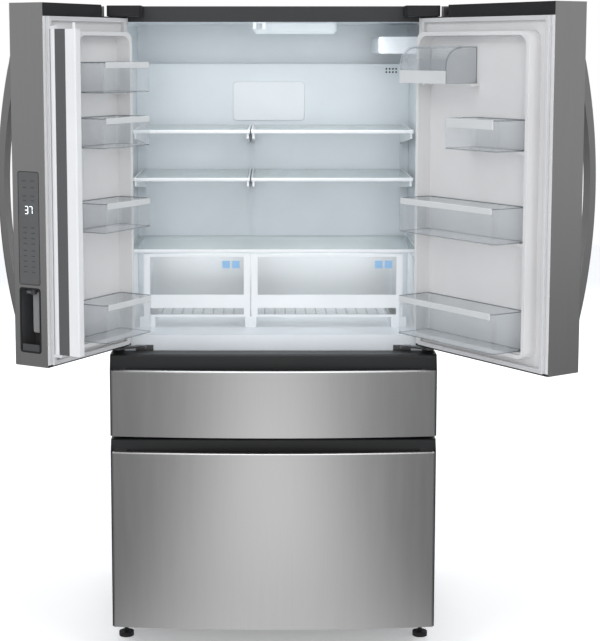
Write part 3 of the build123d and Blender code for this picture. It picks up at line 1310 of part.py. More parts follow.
fixed_rails = []
drawers = (
    ("flex", FLEX_FRONT_Z0, FLEX_FRONT_Z1, FLEX_WALL_Z1, FLEX_Z0, FLEX_Z1, FLEX_BASKET_H, FLEX_BASKET_D),
    ("freezer", FREEZER_FRONT_Z0, FREEZER_FRONT_Z1, FREEZER_WALL_Z1, FREEZER_Z0, FREEZER_Z1,
     FREEZER_BASKET_H, FREEZER_BASKET_D),
)
for name, front_z0, front_z1, wall_z1, z0, z1, basket_h, basket_d in drawers:
    skin, panel = make_drawer_front(front_z0, front_z1, wall_z1)
    basket_z0 = z0 + BASKET_FLOOR_GAP
    rail_z = slide_z(basket_z0, basket_h)
    fixed, middle = make_slides(rail_z)
    fixed_rails += fixed.solids()
    save(skin, name + "_drawer_skin")
    save(panel, name + "_drawer_panel")
    save(make_drawer_gasket(z0, z1), name + "_drawer_gasket")
    save(make_basket(basket_z0, basket_h, basket_d, rail_z), name + "_drawer_basket")
    save(middle, name + "_slides")
save(Compound(children=fixed_rails), "drawer_rails")
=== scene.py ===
# %% [markdown]
# # A french door refrigerator, dressed for its photograph
# The solids come in as a fixed frame: every steel skin, liner, bin, shelf and hinge is already at
# its real size and place. This lesson gives each of them a finish, then adds the small pieces
# that a solid model leaves out, such as door seals, digits, touch keys, screws and ribs, and
# lights the whole.

# %% Load the frame
import json
from math import cos, radians, sin

import bmesh
import bpy
from mathutils import Matrix, Vector


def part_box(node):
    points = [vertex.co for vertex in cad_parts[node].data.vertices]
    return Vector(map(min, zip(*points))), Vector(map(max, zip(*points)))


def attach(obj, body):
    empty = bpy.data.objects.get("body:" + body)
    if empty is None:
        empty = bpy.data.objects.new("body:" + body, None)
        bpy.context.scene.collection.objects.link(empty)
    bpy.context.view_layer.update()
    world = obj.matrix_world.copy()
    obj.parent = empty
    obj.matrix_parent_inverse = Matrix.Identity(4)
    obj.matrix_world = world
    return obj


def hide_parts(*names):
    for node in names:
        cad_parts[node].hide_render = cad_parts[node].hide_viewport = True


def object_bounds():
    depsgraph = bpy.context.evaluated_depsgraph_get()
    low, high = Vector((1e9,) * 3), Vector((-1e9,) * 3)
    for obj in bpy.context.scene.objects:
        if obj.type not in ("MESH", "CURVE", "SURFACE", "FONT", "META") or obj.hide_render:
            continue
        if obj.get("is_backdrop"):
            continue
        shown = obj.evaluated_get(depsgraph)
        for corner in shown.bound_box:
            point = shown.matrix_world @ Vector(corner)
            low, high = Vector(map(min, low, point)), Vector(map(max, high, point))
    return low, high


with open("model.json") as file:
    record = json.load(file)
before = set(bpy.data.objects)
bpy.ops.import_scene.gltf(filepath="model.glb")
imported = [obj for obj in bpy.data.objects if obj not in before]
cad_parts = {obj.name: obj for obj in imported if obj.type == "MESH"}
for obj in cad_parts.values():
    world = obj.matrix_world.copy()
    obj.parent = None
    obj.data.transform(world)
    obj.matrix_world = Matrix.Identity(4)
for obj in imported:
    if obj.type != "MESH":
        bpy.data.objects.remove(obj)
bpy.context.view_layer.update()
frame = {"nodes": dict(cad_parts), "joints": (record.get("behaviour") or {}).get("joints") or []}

nodes = frame["nodes"]

# %% [markdown]
# ## Drawing on a shut door
# Both upper doors stand open at odd angles. A piece for a door is easiest to draw on the shut
# door, where everything is square, and then to turn with it. The frame knows each hinge's pin and
# how far the door is from shut, so one matrix carries a point across, and its inverse measures a
# solid as if its door were shut.

# %% The doors' turns
joints = {joint["name"]: joint for joint in frame["joints"]}


def opening(side):
    """Matrix that carries a point of the shut door to the open one."""
    hinge = joints[side + "_door_hinge"]
    pin = Matrix.Translation(hinge["pos_m"])
    to_shut = radians(hinge["range_deg"][0])
    return pin @ Matrix.Rotation(-to_shut, 4, Vector(hinge["axis"])) @ pin.inverted()


ON_DOOR = {"left": opening("left"), "right": opening("right"), None: Matrix()}


def corners(places):
    """Lowest and highest corner of some points."""
    return [Vector([pick(axis) for axis in zip(*places)]) for pick in (min, max)]


def shut_box(name, side):
    """Corners of a solid, measured with its door shut."""
    back = ON_DOOR[side].inverted()
    return corners([back @ vertex.co for vertex in nodes[name].data.vertices])


for side in ("left", "right"):
    low, high = shut_box(side + "_door_skin", side)
    print(side, "door shut:", [round(v, 3) for v in (*low, *high)])

# %% [markdown]
# ## Finishes as shared node groups
# Brushed steel, moulded plastic and paint each have a fine texture that many pieces share. A
# shader node group holds such an effect once, with named inputs, so each material can set its own
# scale. The groups read Object coordinates, which are metres here, so a grain of half a
# millimetre is the same on a door and on a foot. Building nodes by script repeats three steps:
# add a node, set some of its inputs and link others. One helper does all three.

# %% Helpers for nodes
MIX_SOCKETS = {"FLOAT": (2, 3, 0), "RGBA": (6, 7, 2)}  # first, second and result


def fill(tree, node, inputs):
    """Fills some inputs of a node: a socket is linked, and any other value is set."""
    for label, value in inputs.items():
        if isinstance(value, bpy.types.NodeSocket):
            tree.links.new(value, node.inputs[label])
        else:
            node.inputs[label].default_value = value


def add_node(tree, kind, inputs=None, **settings):
    node = tree.nodes.new(kind)
    for label, value in settings.items():
        setattr(node, label, value)
    fill(tree, node, inputs or {})
    return node


def math_node(tree, operation, first, second):
    return add_node(tree, "ShaderNodeMath", {0: first, 1: second}, operation=operation).outputs[0]


def mix_node(tree, kind, factor, first, second):
    """Blend of two values or of two colours."""
    a, b, result = MIX_SOCKETS[kind]
    node = add_node(tree, "ShaderNodeMix", {0: factor, a: first, b: second}, data_type=kind)
    return node.outputs[result]


def map_range(tree, value, start, end, least, most):
    labels = ("Value", "From Min", "From Max", "To Min", "To Max")
    inputs = dict(zip(labels, (value, start, end, least, most)))
    return add_node(tree, "ShaderNodeMapRange", inputs).outputs["Result"]


def object_place(tree):
    return add_node(tree, "ShaderNodeTexCoord").outputs["Object"]


print("node helpers ready")

# %% [markdown]
# A colour ramp keeps its colours in a list of marks that starts with two, so missing ones are
# added before they are set. A node group has an interface of named sockets, and two nodes inside
# it give and take what passes through them.

# %% Helpers for ramps and groups


def ramp(tree, factor, stops, interpolation="LINEAR"):
    """Colours at given places from 0 to 1."""
    node = add_node(tree, "ShaderNodeValToRGB", {0: factor})
    node.color_ramp.interpolation = interpolation
    marks = node.color_ramp.elements
    while len(marks) < len(stops):
        marks.new(0.5)
    for mark, (place, colour) in zip(marks, stops):
        mark.position = place
        mark.color = (*colour, 1)
    return node.outputs[0]


def start_group(name, inputs, outputs):
    group = bpy.data.node_groups.new(name, "ShaderNodeTree")
    for label, value in inputs.items():
        socket = group.interface.new_socket(label, in_out="INPUT", socket_type="NodeSocketFloat")
        socket.default_value = value
    for label in outputs:
        group.interface.new_socket(label, in_out="OUTPUT", socket_type="NodeSocketFloat")
    return group, add_node(group, "NodeGroupInput"), add_node(group, "NodeGroupOutput")


print("ramp and group helpers ready")

# %% [markdown]
# The brushing on these fronts runs upright. A noise that is squeezed sideways and stretched
# upright gives long thin lines: the coordinate is multiplied by a large number across and by a
# small one along. Two such noises, one fine and one broad, are mixed, because real brushing has
# single scratches and also wider bands.

# %% Brushed lines
FINE_SHARE, BROAD_SHARE = 1.0, 0.06


def make_brushed_group():
    inputs = {"Across": 900.0, "Along": 6.0, "Broad": 0.5}
    group, inside, out = start_group("brushed lines", inputs, ["Lines", "Height"])
    place = object_place(group)
    noises = []
    for share in (FINE_SHARE, BROAD_SHARE):
        across = math_node(group, "MULTIPLY", inside.outputs["Across"], share)
        scale = add_node(
            group, "ShaderNodeCombineXYZ", {0: across, 1: across, 2: inside.outputs["Along"]}
        )
        squeezed = add_node(
            group, "ShaderNodeVectorMath", {0: place, 1: scale.outputs[0]}, operation="MULTIPLY"
        )
        noise = {"Vector": squeezed.outputs[0], "Scale": 1.0, "Detail": 3.0}
        noises.append(add_node(group, "ShaderNodeTexNoise", noise).outputs["Fac"])
    fine, broad = noises
    lines = mix_node(group, "FLOAT", inside.outputs["Broad"], fine, broad)
    fill(group, out, {"Lines": lines, "Height": fine})
    return group


BRUSHED = make_brushed_group()
print("group:", BRUSHED.name)

# %% [markdown]
# Moulded plastic and paint have an even, fine grain and a slow change of tone over a hand's
# width. One group gives both: Grain for the bump and the gloss, Tone for the colour.

# %% Moulded grain


def make_grain_group():
    inputs = {"Grain Scale": 1400.0, "Tone Scale": 5.0}
    group, inside, out = start_group("moulded grain", inputs, ["Grain", "Tone"])
    place = object_place(group)
    for label, detail in (("Grain", 2.0), ("Tone", 4.0)):
        scale = inside.outputs[label + " Scale"]
        noise = {"Vector": place, "Scale": scale, "Detail": detail}
        fill(group, out, {label: add_node(group, "ShaderNodeTexNoise", noise).outputs["Fac"]})
    return group


GRAIN = make_grain_group()
print("group:", GRAIN.name)

# %% [markdown]
# ## From a group to a material
# Each finish below is one Principled BSDF. The group's values spread the colour and the gloss a
# little around the chosen ones and drive a Bump node. A noise seldom leaves its middle part, so
# that part is what the spread runs over. Values that are the same all over stay on the shader's
# own sockets.

# %% Helpers for one material
NOISE_LOW, NOISE_HIGH = 0.3, 0.7


def start_material(name, roughness, metallic=0.0, coat=0.0, specular=0.5):
    material = bpy.data.materials.new(name)
    material.use_nodes = True
    tree = material.node_tree
    shader = tree.nodes["Principled BSDF"]
    fill(tree, shader, {
        "Roughness": roughness, "Metallic": metallic, "Coat Weight": coat,
        "Specular IOR Level": specular,
    })
    return material, tree, shader


def add_group(tree, group, inputs):
    return add_node(tree, "ShaderNodeGroup", inputs, node_tree=group).outputs


def spread_colour(tree, shader, factor, colour, spread):
    """Base colour that runs from a little under the colour to a little over it."""
    under = [c * (1 - spread) for c in colour]
    over = [min(c * (1 + spread), 1) for c in colour]
    mixed = ramp(tree, factor, [(NOISE_LOW, under), (NOISE_HIGH, over)])
    fill(tree, shader, {"Base Color": mixed})


def spread_roughness(tree, shader, factor, low, high):
    fill(tree, shader, {"Roughness": map_range(tree, factor, NOISE_LOW, NOISE_HIGH, low, high)})


def add_bump(tree, shader, height, strength, distance):
    inputs = {"Strength": strength, "Distance": distance, "Height": height}
    fill(tree, shader, {"Normal": add_node(tree, "ShaderNodeBump", inputs).outputs["Normal"]})


print("material helpers ready")

# %% [markdown]
# Stainless steel is a metal with a grey tint. Its upright lines change the gloss more than the
# colour, so the lines drive Roughness strongly and Base Color weakly. The satin bow handles use
# the same group with finer, shorter lines, and so do zinc and copper. After its name and colour,
# each metal has its least and most roughness, its lines across and along, and its bump.

# %% Metals
METAL_SPREAD, LINE_DEPTH = 0.03, 0.0002


def brushed_metal(name, colour, roughness, lines, bump):
    material, tree, shader = start_material(name, roughness[0], metallic=1.0)
    brushing = add_group(tree, BRUSHED, {"Across": lines[0], "Along": lines[1]})
    spread_colour(tree, shader, brushing["Lines"], colour, METAL_SPREAD)
    spread_roughness(tree, shader, brushing["Lines"], *roughness)
    add_bump(tree, shader, brushing["Height"], bump, LINE_DEPTH)
    return material


STAINLESS = brushed_metal(
    "brushed stainless", (0.66, 0.66, 0.665), (0.28, 0.33), lines=(900.0, 5.0), bump=0.02
)
HANDLE_STEEL = brushed_metal(
    "satin handle steel", (0.56, 0.56, 0.565), (0.30, 0.38), lines=(1600.0, 30.0), bump=0.04
)
ZINC = brushed_metal(
    "zinc plate", (0.52, 0.53, 0.55), (0.34, 0.46), lines=(400.0, 200.0), bump=0.05
)
HINGE_STEEL = brushed_metal(
    "dark hinge steel", (0.24, 0.24, 0.245), (0.36, 0.48), lines=(400.0, 200.0), bump=0.05
)
COPPER = brushed_metal(
    "copper tube", (0.62, 0.30, 0.18), (0.30, 0.42), lines=(500.0, 300.0), bump=0.05
)
SCREW_ZINC = brushed_metal(
    "screw zinc", (0.42, 0.42, 0.44), (0.34, 0.46), lines=(900.0, 900.0), bump=0.05
)
METALS = (STAINLESS, HANDLE_STEEL, ZINC, HINGE_STEEL, COPPER, SCREW_ZINC)
print("metals:", [finish.name for finish in METALS])

# %% [markdown]
# Paint and plastic differ in gloss and in the size of their grain: an injection-moulded liner is
# almost smooth, and a textured side panel has a grain that the finger feels. One function makes
# them all from the moulded grain. After its name and colour, each has its roughness, its grain,
# its bump and, where it isn't the usual one, the spread of its colour. A lower specular level
# keeps some of the dark ones from mirroring the bright room.

# %% Plastics and paints
GLOSS_SPREAD, GRAIN_DEPTH = 0.1, 0.0003


def moulded(name, colour, roughness, grain, strength, spread=0.03, coat=0.0, specular=0.5):
    material, tree, shader = start_material(name, roughness, coat=coat, specular=specular)
    skin = add_group(tree, GRAIN, {"Grain Scale": grain})
    spread_colour(tree, shader, skin["Tone"], colour, spread)
    low, high = roughness * (1 - GLOSS_SPREAD), roughness * (1 + GLOSS_SPREAD)
    spread_roughness(tree, shader, skin["Grain"], low, high)
    add_bump(tree, shader, skin["Grain"], strength, GRAIN_DEPTH)
    return material


LINER_COLOUR = (0.80, 0.84, 0.87)
LINER_WHITE = moulded("cabinet liner white", LINER_COLOUR, 0.32, 900.0, 0.03)
# The door liner is coloured darker than the cabinet liner: this grey is painted shade, for the
# doors' inner faces that the cabinet's lights don't reach.
SHADED_DOOR_LINER = moulded("door liner with painted shade", (0.66, 0.655, 0.655), 0.36, 900.0, 0.03)
WHITE_PLASTIC = moulded("white moulded plastic", (0.86, 0.88, 0.90), 0.30, 1100.0, 0.03)
CASE_GREY = moulded("textured case paint", (0.105, 0.107, 0.112), 0.50, 1300.0, 0.25, 0.05)
FRAME_GREY = moulded(
    "cabinet frame paint", (0.042, 0.043, 0.045), 0.46, 1300.0, 0.08, 0.05, specular=0.25
)
DARK_PLASTIC = moulded(
    "dark moulded plastic", (0.020, 0.020, 0.0215), 0.46, 1500.0, 0.12, 0.06, specular=0.25
)
PANEL_GREY = moulded(
    "dark drawer panel", (0.022, 0.0225, 0.0235), 0.40, 1500.0, 0.10, 0.06, specular=0.35
)
RECESS_GREY = moulded("dispenser recess", (0.060, 0.061, 0.063), 0.45, 1500.0, 0.10, 0.06)
PADDLE_GREY = moulded("lever grey", (0.26, 0.26, 0.265), 0.34, 1500.0, 0.06)
CONTROL_FILM = moulded(
    "control film", (0.105, 0.106, 0.108), 0.30, 1800.0, 0.03, coat=0.15, specular=0.3
)
KEY_MARK = moulded("key marks", (0.045, 0.045, 0.047), 0.40, 1500.0, 0.02, specular=0.25)
MULLION_WHITE = moulded("mullion white", (0.72, 0.72, 0.725), 0.40, 1100.0, 0.03)
MULLION_STRIP = moulded("mullion strip paint", (0.095, 0.095, 0.098), 0.44, 1300.0, 0.06)
RAIL_GREY = moulded("bin rail", (0.60, 0.61, 0.615), 0.28, 1500.0, 0.03)
GASKET_GREY = moulded("soft door seal", (0.56, 0.56, 0.565), 0.55, 1700.0, 0.08)
DARK_GASKET = moulded("soft drawer seal", (0.16, 0.16, 0.165), 0.55, 1700.0, 0.08)
GALVANISED = moulded("galvanised sheet", (0.34, 0.35, 0.36), 0.46, 60.0, 0.05, 0.12)
FOAM_CREAM = moulded("rigid foam", (0.72, 0.62, 0.40), 0.85, 300.0, 0.4, 0.08)
COMPRESSOR_BLACK = moulded("compressor paint", (0.016, 0.016, 0.017), 0.30, 900.0, 0.06, 0.05)
RUBBER_BLACK = moulded("roller rubber", (0.022, 0.022, 0.023), 0.65, 900.0, 0.25, 0.08)
NYLON = moulded("inlet nylon", (0.74, 0.74, 0.70), 0.45, 1200.0, 0.06)
CHILL_BLUE = moulded("pale blue mark", (0.30, 0.52, 0.78), 0.35, 1500.0, 0.03)
print("plastics and paints made, from", LINER_WHITE.name, "to", CHILL_BLUE.name)

# %% [markdown]
# The fork that guides the flip mullion is one solid with the cabinet's dark front frame, but the
# photograph shows it white. The frame is a thin sheet and the fork lies behind it, so the depth
# in object coordinates tells them apart: a Greater Than node makes the mask, and a Mix node
# changes the colour.

# %% White behind the frame
FRAME_SHEET = 0.0012


def paint_behind(material, depth, colour):
    tree = material.node_tree
    shader = tree.nodes["Principled BSDF"]
    paint = shader.inputs["Base Color"].links[0].from_socket
    place = add_node(tree, "ShaderNodeSeparateXYZ", {0: object_place(tree)})
    behind = math_node(tree, "GREATER_THAN", place.outputs["Y"], depth)
    fill(tree, shader, {"Base Color": mix_node(tree, "RGBA", behind, paint, (*colour, 1))})


sheet_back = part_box("front_frame")[0].y + FRAME_SHEET
paint_behind(FRAME_GREY, sheet_back, LINER_COLOUR)
print("frame paint turns white behind", round(sheet_back, 4))

# %% [markdown]
# Clear plastic shows mostly at its edges, where one looks through more of it. The Layer Weight
# node knows how steeply a face is seen, so it drives Alpha: nearly clear when seen square on,
# fuller when seen along the wall. After its name and colour, each finish has its roughness and
# the least and the most that it covers.

# %% Clear plastic and glass
CLEAR_GRAIN, CLEAR_SPREAD, CLEAR_BUMP, CLEAR_DEPTH, EDGE_BLEND = 700.0, 0.02, 0.02, 0.0002, 0.30


def clear(name, colour, roughness, least, most):
    material, tree, shader = start_material(name, roughness)
    skin = add_group(tree, GRAIN, {"Grain Scale": CLEAR_GRAIN})
    spread_colour(tree, shader, skin["Tone"], colour, CLEAR_SPREAD)
    facing = add_node(tree, "ShaderNodeLayerWeight", {"Blend": EDGE_BLEND}).outputs["Facing"]
    fill(tree, shader, {"Alpha": map_range(tree, facing, 0.0, 1.0, least, most)})
    add_bump(tree, shader, skin["Grain"], CLEAR_BUMP, CLEAR_DEPTH)
    return material


CLEAR_PLASTIC = clear("clear bin plastic", (0.62, 0.66, 0.69), 0.06, 0.05, 0.48)
CLEAR_PAN = clear("clear crisper plastic", (0.70, 0.75, 0.78), 0.06, 0.03, 0.26)
SHELF_GLASS = clear("shelf glass", (0.66, 0.78, 0.78), 0.04, 0.14, 0.60)
# The thick clear edge finish is dark. It is partly the tint of thick plastic, and mostly painted
# shade for the dark line that refraction draws along the bins' rims.
EDGE_SHADE_CLEAR = clear("clear edge with painted dark line", (0.17, 0.18, 0.19), 0.10, 0.35, 0.70)
print("clear:", CLEAR_PLASTIC.name, CLEAR_PAN.name, SHELF_GLASS.name, EDGE_SHADE_CLEAR.name)

# %% [markdown]
# Two things give light: the lens in the ceiling and the digits. Emission makes both. The lens
# only glows a little, because a lamp below it does the lighting and a bright lens would clip to
# white.

# %% Light giving finishes
COOL_WHITE = (0.90, 0.96, 1.0)
GLOW_TONE, GLOW_SPREAD = 30.0, 0.02


def glowing(name, colour, strength, roughness):
    material, tree, shader = start_material(name, roughness)
    skin = add_group(tree, GRAIN, {"Tone Scale": GLOW_TONE})
    spread_colour(tree, shader, skin["Tone"], colour, GLOW_SPREAD)
    fill(tree, shader, {"Emission Color": (*colour, 1), "Emission Strength": strength})
    return material


LIGHT_LENS = glowing("lit lens", COOL_WHITE, strength=0.12, roughness=0.5)
DIGIT_GLOW = glowing("lit digits", COOL_WHITE, strength=1.2, roughness=0.4)
print("light:", LIGHT_LENS.name, DIGIT_GLOW.name)

# %% [markdown]
# ## Dressing the solids
# A table from finish to node names is the quickest way to dress sixty solids, and it shows at a
# glance what is what.

# %% Finishes of the solids
DRESS = [
    (STAINLESS, "left_door_skin right_door_skin flex_drawer_skin freezer_drawer_skin"),
    (HANDLE_STEEL, "left_door_handle right_door_handle"),
    (CASE_GREY, "outer_case"),
    (FRAME_GREY, "front_frame"),
    (FOAM_CREAM, "cabinet_insulation"),
    (LINER_WHITE, "fresh_food_liner drawer_liners duct_cover water_filter_housing"),
    (SHADED_DOOR_LINER, "left_door_liner right_door_liner"),
    (WHITE_PLASTIC, "air_filter_cover shelf_frames crisper_runners"),
    (WHITE_PLASTIC, "flex_drawer_basket freezer_drawer_basket"),
    (WHITE_PLASTIC, "left_crisper_front right_crisper_front"),
    (DARK_PLASTIC, "hinge_covers left_door_caps right_door_caps front_feet"),
    (DARK_PLASTIC, "condenser_fan condenser_fan_motor"),
    (PANEL_GREY, "flex_drawer_panel freezer_drawer_panel"),
    (RECESS_GREY, "dispenser_niche"),
    (PADDLE_GREY, "dispenser_paddle"),
    (CONTROL_FILM, "control_panel"),
    (MULLION_WHITE, "mullion_body"),
    (MULLION_STRIP, "mullion_plate"),
    (RAIL_GREY, "left_bin_rails right_bin_rails"),
    (CLEAR_PLASTIC, "left_door_bins right_door_bins dairy_bin dairy_lid"),
    (CLEAR_PAN, "left_crisper_pan right_crisper_pan"),
    (SHELF_GLASS, "shelf_glass"),
    (GASKET_GREY, "left_door_gasket right_door_gasket"),
    (DARK_GASKET, "flex_drawer_gasket freezer_drawer_gasket"),
    (HINGE_STEEL, "door_hinges"),
    (ZINC, "drawer_rails flex_slides freezer_slides evaporator_coil"),
    (GALVANISED, "base_pan machine_cover"),
    (COPPER, "condenser_coil"),
    (COMPRESSOR_BLACK, "compressor"),
    (LIGHT_LENS, "light_cover"),
    (RUBBER_BLACK, "rear_rollers"),
    (NYLON, "water_inlet_fitting"),
]

dressed = set()
for finish, names in DRESS:
    for name in names.split():
        slots = nodes[name].data.materials
        slots.clear()
        slots.append(finish)
        dressed.add(name)
print("dressed:", len(dressed), "left bare:", sorted(set(nodes) - dressed))

# %% [markdown]
# ## Pieces of our own
# Every new piece is a plain mesh at the origin, with its place in its vertices, and it rides on
# the body that carries it. One helper does that bookkeeping for all of them. Two more make
# meshes: one from points and faces, and one that joins loops of the same count into a closed band
# of quads.

# %% Helpers for a piece
SAME_PLACE = 1e-6


def add_piece(name, mesh, body, finish):
    piece = bpy.data.objects.new(name, mesh)
    bpy.context.scene.collection.objects.link(piece)
    mesh.materials.clear()
    mesh.materials.append(finish)
    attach(piece, body)
    return piece


def mesh_from(name, points, faces, side=None):
    """Mesh of points and faces, turned with a door if one is named."""
    mesh = bpy.data.meshes.new(name)
    mesh.from_pydata(points, [], faces)
    mesh.transform(ON_DOOR[side])
    shape = bmesh.new()
    shape.from_mesh(mesh)
    bmesh.ops.remove_doubles(shape, verts=shape.verts, dist=SAME_PLACE)
    bmesh.ops.recalc_face_normals(shape, faces=shape.faces)
    shape.to_mesh(mesh)
    shape.free()
    return mesh


def band_faces(loops, count):
    """Quads between neighbouring loops, the last one joined to the first."""
    faces = []
    for loop in range(loops):
        after = (loop + 1) % loops
        for i in range(count):
            j = (i + 1) % count
            faces.append((loop * count + i, loop * count + j, after * count + j, after * count + i))
    return faces


print("piece helpers ready")

# %% [markdown]
# ### Door and drawer seals
# A magnetic seal is a hollow bellows that runs round the door. Half of its section is drawn, as
# pairs of inset and height, and mirrored about a shallow groove. Each pair becomes one rectangle
# round the door. Joining neighbouring rectangles gives a mitred frame with true corners, which a
# swept curve would round off. The size and place come from the plain seal that each one replaces.

# %% Seals
SEAL_W = 0.012
HALF_SEAL = [
    (0.0012, 0.0), (0.0003, 0.0022), (0.0019, 0.0044), (0.0003, 0.0066), (0.0002, 0.0104),
    (0.0012, 0.0116), (0.0052, 0.0116),
]
GROOVE = (SEAL_W / 2, 0.0110)
MIRRORED = [(SEAL_W - inset, height) for inset, height in reversed(HALF_SEAL)]
SEAL_SECTION = HALF_SEAL + [GROOVE] + MIRRORED


def seal_mesh(name, gasket, side):
    low, high = shut_box(gasket, side)
    points = []
    for inset, height in SEAL_SECTION:
        x0, x1, z0, z1 = low.x + inset, high.x - inset, low.z + inset, high.z - inset
        points += [(x, low.y + height, z) for x, z in ((x0, z0), (x1, z0), (x1, z1), (x0, z1))]
    return mesh_from(name, points, band_faces(len(SEAL_SECTION), 4), side)


for body, side, finish in (
    ("left_door", "left", GASKET_GREY), ("right_door", "right", GASKET_GREY),
    ("flex_drawer", None, DARK_GASKET), ("freezer_drawer", None, DARK_GASKET),
):
    mesh = seal_mesh(body + "_seal", body + "_gasket", side)
    seal = add_piece(body + "_seal", mesh, body, finish)
    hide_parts(body + "_gasket")
    print(seal.name, len(mesh.polygons), "faces")

# %% [markdown]
# ### Trims in the door's free edge
# A thin dark line runs round the control film, and a wider frame closes the mouth of the
# dispenser recess. Both are rounded rings, a little larger than the solid that they go round. A
# ring is two rounded rectangles of the same count of corners, each drawn low and high, so that
# the four loops can be joined with plain quads.

# %% Trims
CORNER_STEPS = 6
panel_low, panel_high = shut_box("control_panel", "left")
PANEL_FACE = panel_high.x
PANEL_MID_Y = (panel_low.y + panel_high.y) / 2


def rounded_loop(half_w, z0, z1, radius):
    """Corners of a rounded rectangle, as across and up."""
    loop = []
    centres = [(half_w - radius, z1 - radius), (radius - half_w, z1 - radius)]
    centres += [(radius - half_w, z0 + radius), (half_w - radius, z0 + radius)]
    for quarter, (a, b) in enumerate(centres):
        for step in range(CORNER_STEPS + 1):
            angle = radians(90.0 * (quarter + step / CORNER_STEPS))
            loop.append((a + radius * cos(angle), b + radius * sin(angle)))
    return loop


def trim(name, node, larger, radius, width, sunk, proud):
    low, high = shut_box(node, "left")
    half_w, z0, z1 = (high.y - low.y) / 2 + larger, low.z - larger, high.z + larger
    outer = rounded_loop(half_w, z0, z1, radius)
    inner = rounded_loop(half_w - width, z0 + width, z1 - width, radius - width)
    points = []
    for loop, lift in ((outer, -sunk), (outer, proud), (inner, proud), (inner, -sunk)):
        points += [(PANEL_FACE + lift, PANEL_MID_Y + a, b) for a, b in loop]
    mesh = mesh_from(name, points, band_faces(4, len(outer)), "left")
    add_piece(name, mesh, "left_door", DARK_PLASTIC)
    print(name, len(mesh.polygons), "faces")


trim(
    "control_trim", "control_panel",
    larger=0.0007, radius=0.0065, width=0.0016, sunk=0.0010, proud=0.0003,
)
trim(
    "recess_trim", "dispenser_niche",
    larger=0.0010, radius=0.0080, width=0.0050, sunk=0.0012, proud=0.0005,
)

# %% [markdown]
# ### The temperature display
# The panel in the left door's free edge shows a two-figure temperature in seven bars to a figure.
# Drawing the bars as thin six-sided plates keeps the look of a real display, where a font would
# give a printed one.

# %% Display digits
BARS = {
    "a": ((0.0, 1.0), (1.0, 1.0)), "b": ((1.0, 1.0), (1.0, 0.5)), "c": ((1.0, 0.5), (1.0, 0.0)),
    "d": ((0.0, 0.0), (1.0, 0.0)), "e": ((0.0, 0.5), (0.0, 0.0)), "f": ((0.0, 1.0), (0.0, 0.5)),
    "g": ((0.0, 0.5), (1.0, 0.5)),
}
FIGURES = {"3": "abgcd", "7": "abc"}
DIGIT_W, DIGIT_H, DIGIT_GAP, BAR_T = 0.0095, 0.019, 0.0045, 0.0017
DIGIT_SUNK, DIGIT_PROUD = 0.0002, 0.0003
DIGITS_UP, BAR_CORNERS = 0.185, 6


def bar_points(start, end, lift):
    """Six corners of one bar in the panel's plane, given across and up."""
    along = (end - start).normalized()
    across = Vector((-along.y, along.x)) * BAR_T / 2
    a, b, cut = start + along * BAR_T / 4, end - along * BAR_T / 4, along * BAR_T / 2
    outline = [a, a + cut + across, b - cut + across, b, b - cut - across, a + cut - across]
    return [(PANEL_FACE + lift, PANEL_MID_Y + p.x, p.y) for p in outline]


def digits_mesh(text):
    points, faces = [], []
    step = DIGIT_W + DIGIT_GAP
    left = -(len(text) * step - DIGIT_GAP) / 2
    for place, figure in enumerate(text):
        corner = Vector((left + place * step, panel_low.z + DIGITS_UP))
        for bar in FIGURES[figure]:
            start, end = (Vector((x * DIGIT_W, y * DIGIT_H)) + corner for x, y in BARS[bar])
            foot, top = len(points), len(points) + BAR_CORNERS
            points += bar_points(start, end, -DIGIT_SUNK) + bar_points(start, end, DIGIT_PROUD)
            faces += [tuple(range(foot, top)), tuple(range(top, top + BAR_CORNERS))]
            for i in range(BAR_CORNERS):
                j = (i + 1) % BAR_CORNERS
                faces.append((foot + i, foot + j, top + j, top + i))
    return mesh_from("display_digits", points, faces, "left")


digits = add_piece("display_digits", digits_mesh("37"), "left_door", DIGIT_GLOW)
print(digits.name, len(digits.data.polygons), "faces")

# %% [markdown]
# ## Geometry Nodes for what repeats
# Keys, screws, ribs and beads repeat. Geometry Nodes draw each of them once and copy it, and the
# result is kept as a plain mesh. Every tree below begins with named inputs and ends the same way,
# by making the copies real and giving them their finish, so two helpers hold the beginning and
# the end. A third runs a tree: it sets the inputs by their identifiers before Blender looks at
# the result for the first time.

# %% Helpers for trees


def start_tree(name, inputs, output):
    tree = bpy.data.node_groups.new(name, "GeometryNodeTree")
    tree.is_modifier = True
    sockets = {}
    for label, kind in inputs.items():
        socket = tree.interface.new_socket(label, in_out="INPUT", socket_type="NodeSocket" + kind)
        sockets[label] = socket.identifier
    tree.interface.new_socket(output, in_out="OUTPUT", socket_type="NodeSocketGeometry")
    return tree, sockets, add_node(tree, "NodeGroupInput").outputs


def end_tree(tree, geometry, finish):
    real = add_node(tree, "GeometryNodeRealizeInstances", {"Geometry": geometry})
    painted = {"Geometry": real.outputs["Geometry"], "Material": finish}
    paint = add_node(tree, "GeometryNodeSetMaterial", painted)
    add_node(tree, "NodeGroupOutput", {0: paint.outputs["Geometry"]})


def grow(name, tree, sockets, values, points, edges=()):
    """Runs a tree on bare points or lines and returns the result as a plain mesh."""
    seed = bpy.data.meshes.new(name + "_points")
    seed.from_pydata(points, list(edges), [])
    holder = bpy.data.objects.new(name + "_holder", seed)
    bpy.context.scene.collection.objects.link(holder)
    modifier = holder.modifiers.new(name, "NODES")
    modifier.node_group = tree
    for label, value in values.items():
        modifier[sockets[label]] = value
    evaluated = holder.evaluated_get(bpy.context.evaluated_depsgraph_get())
    mesh = bpy.data.meshes.new_from_object(evaluated)
    mesh.name = name
    holder.modifiers.remove(modifier)
    bpy.data.objects.remove(holder)
    return mesh


print("tree helpers ready")

# %% [markdown]
# ### Studs on points: keys and screws
# Touch keys and screws are the same idea: a small turned stud set on many points of a plane. The
# tree takes a mesh of bare points and puts a low cone on each. Its named inputs set the size and
# the way the studs face, so one tree serves every use.

# %% The stud tree


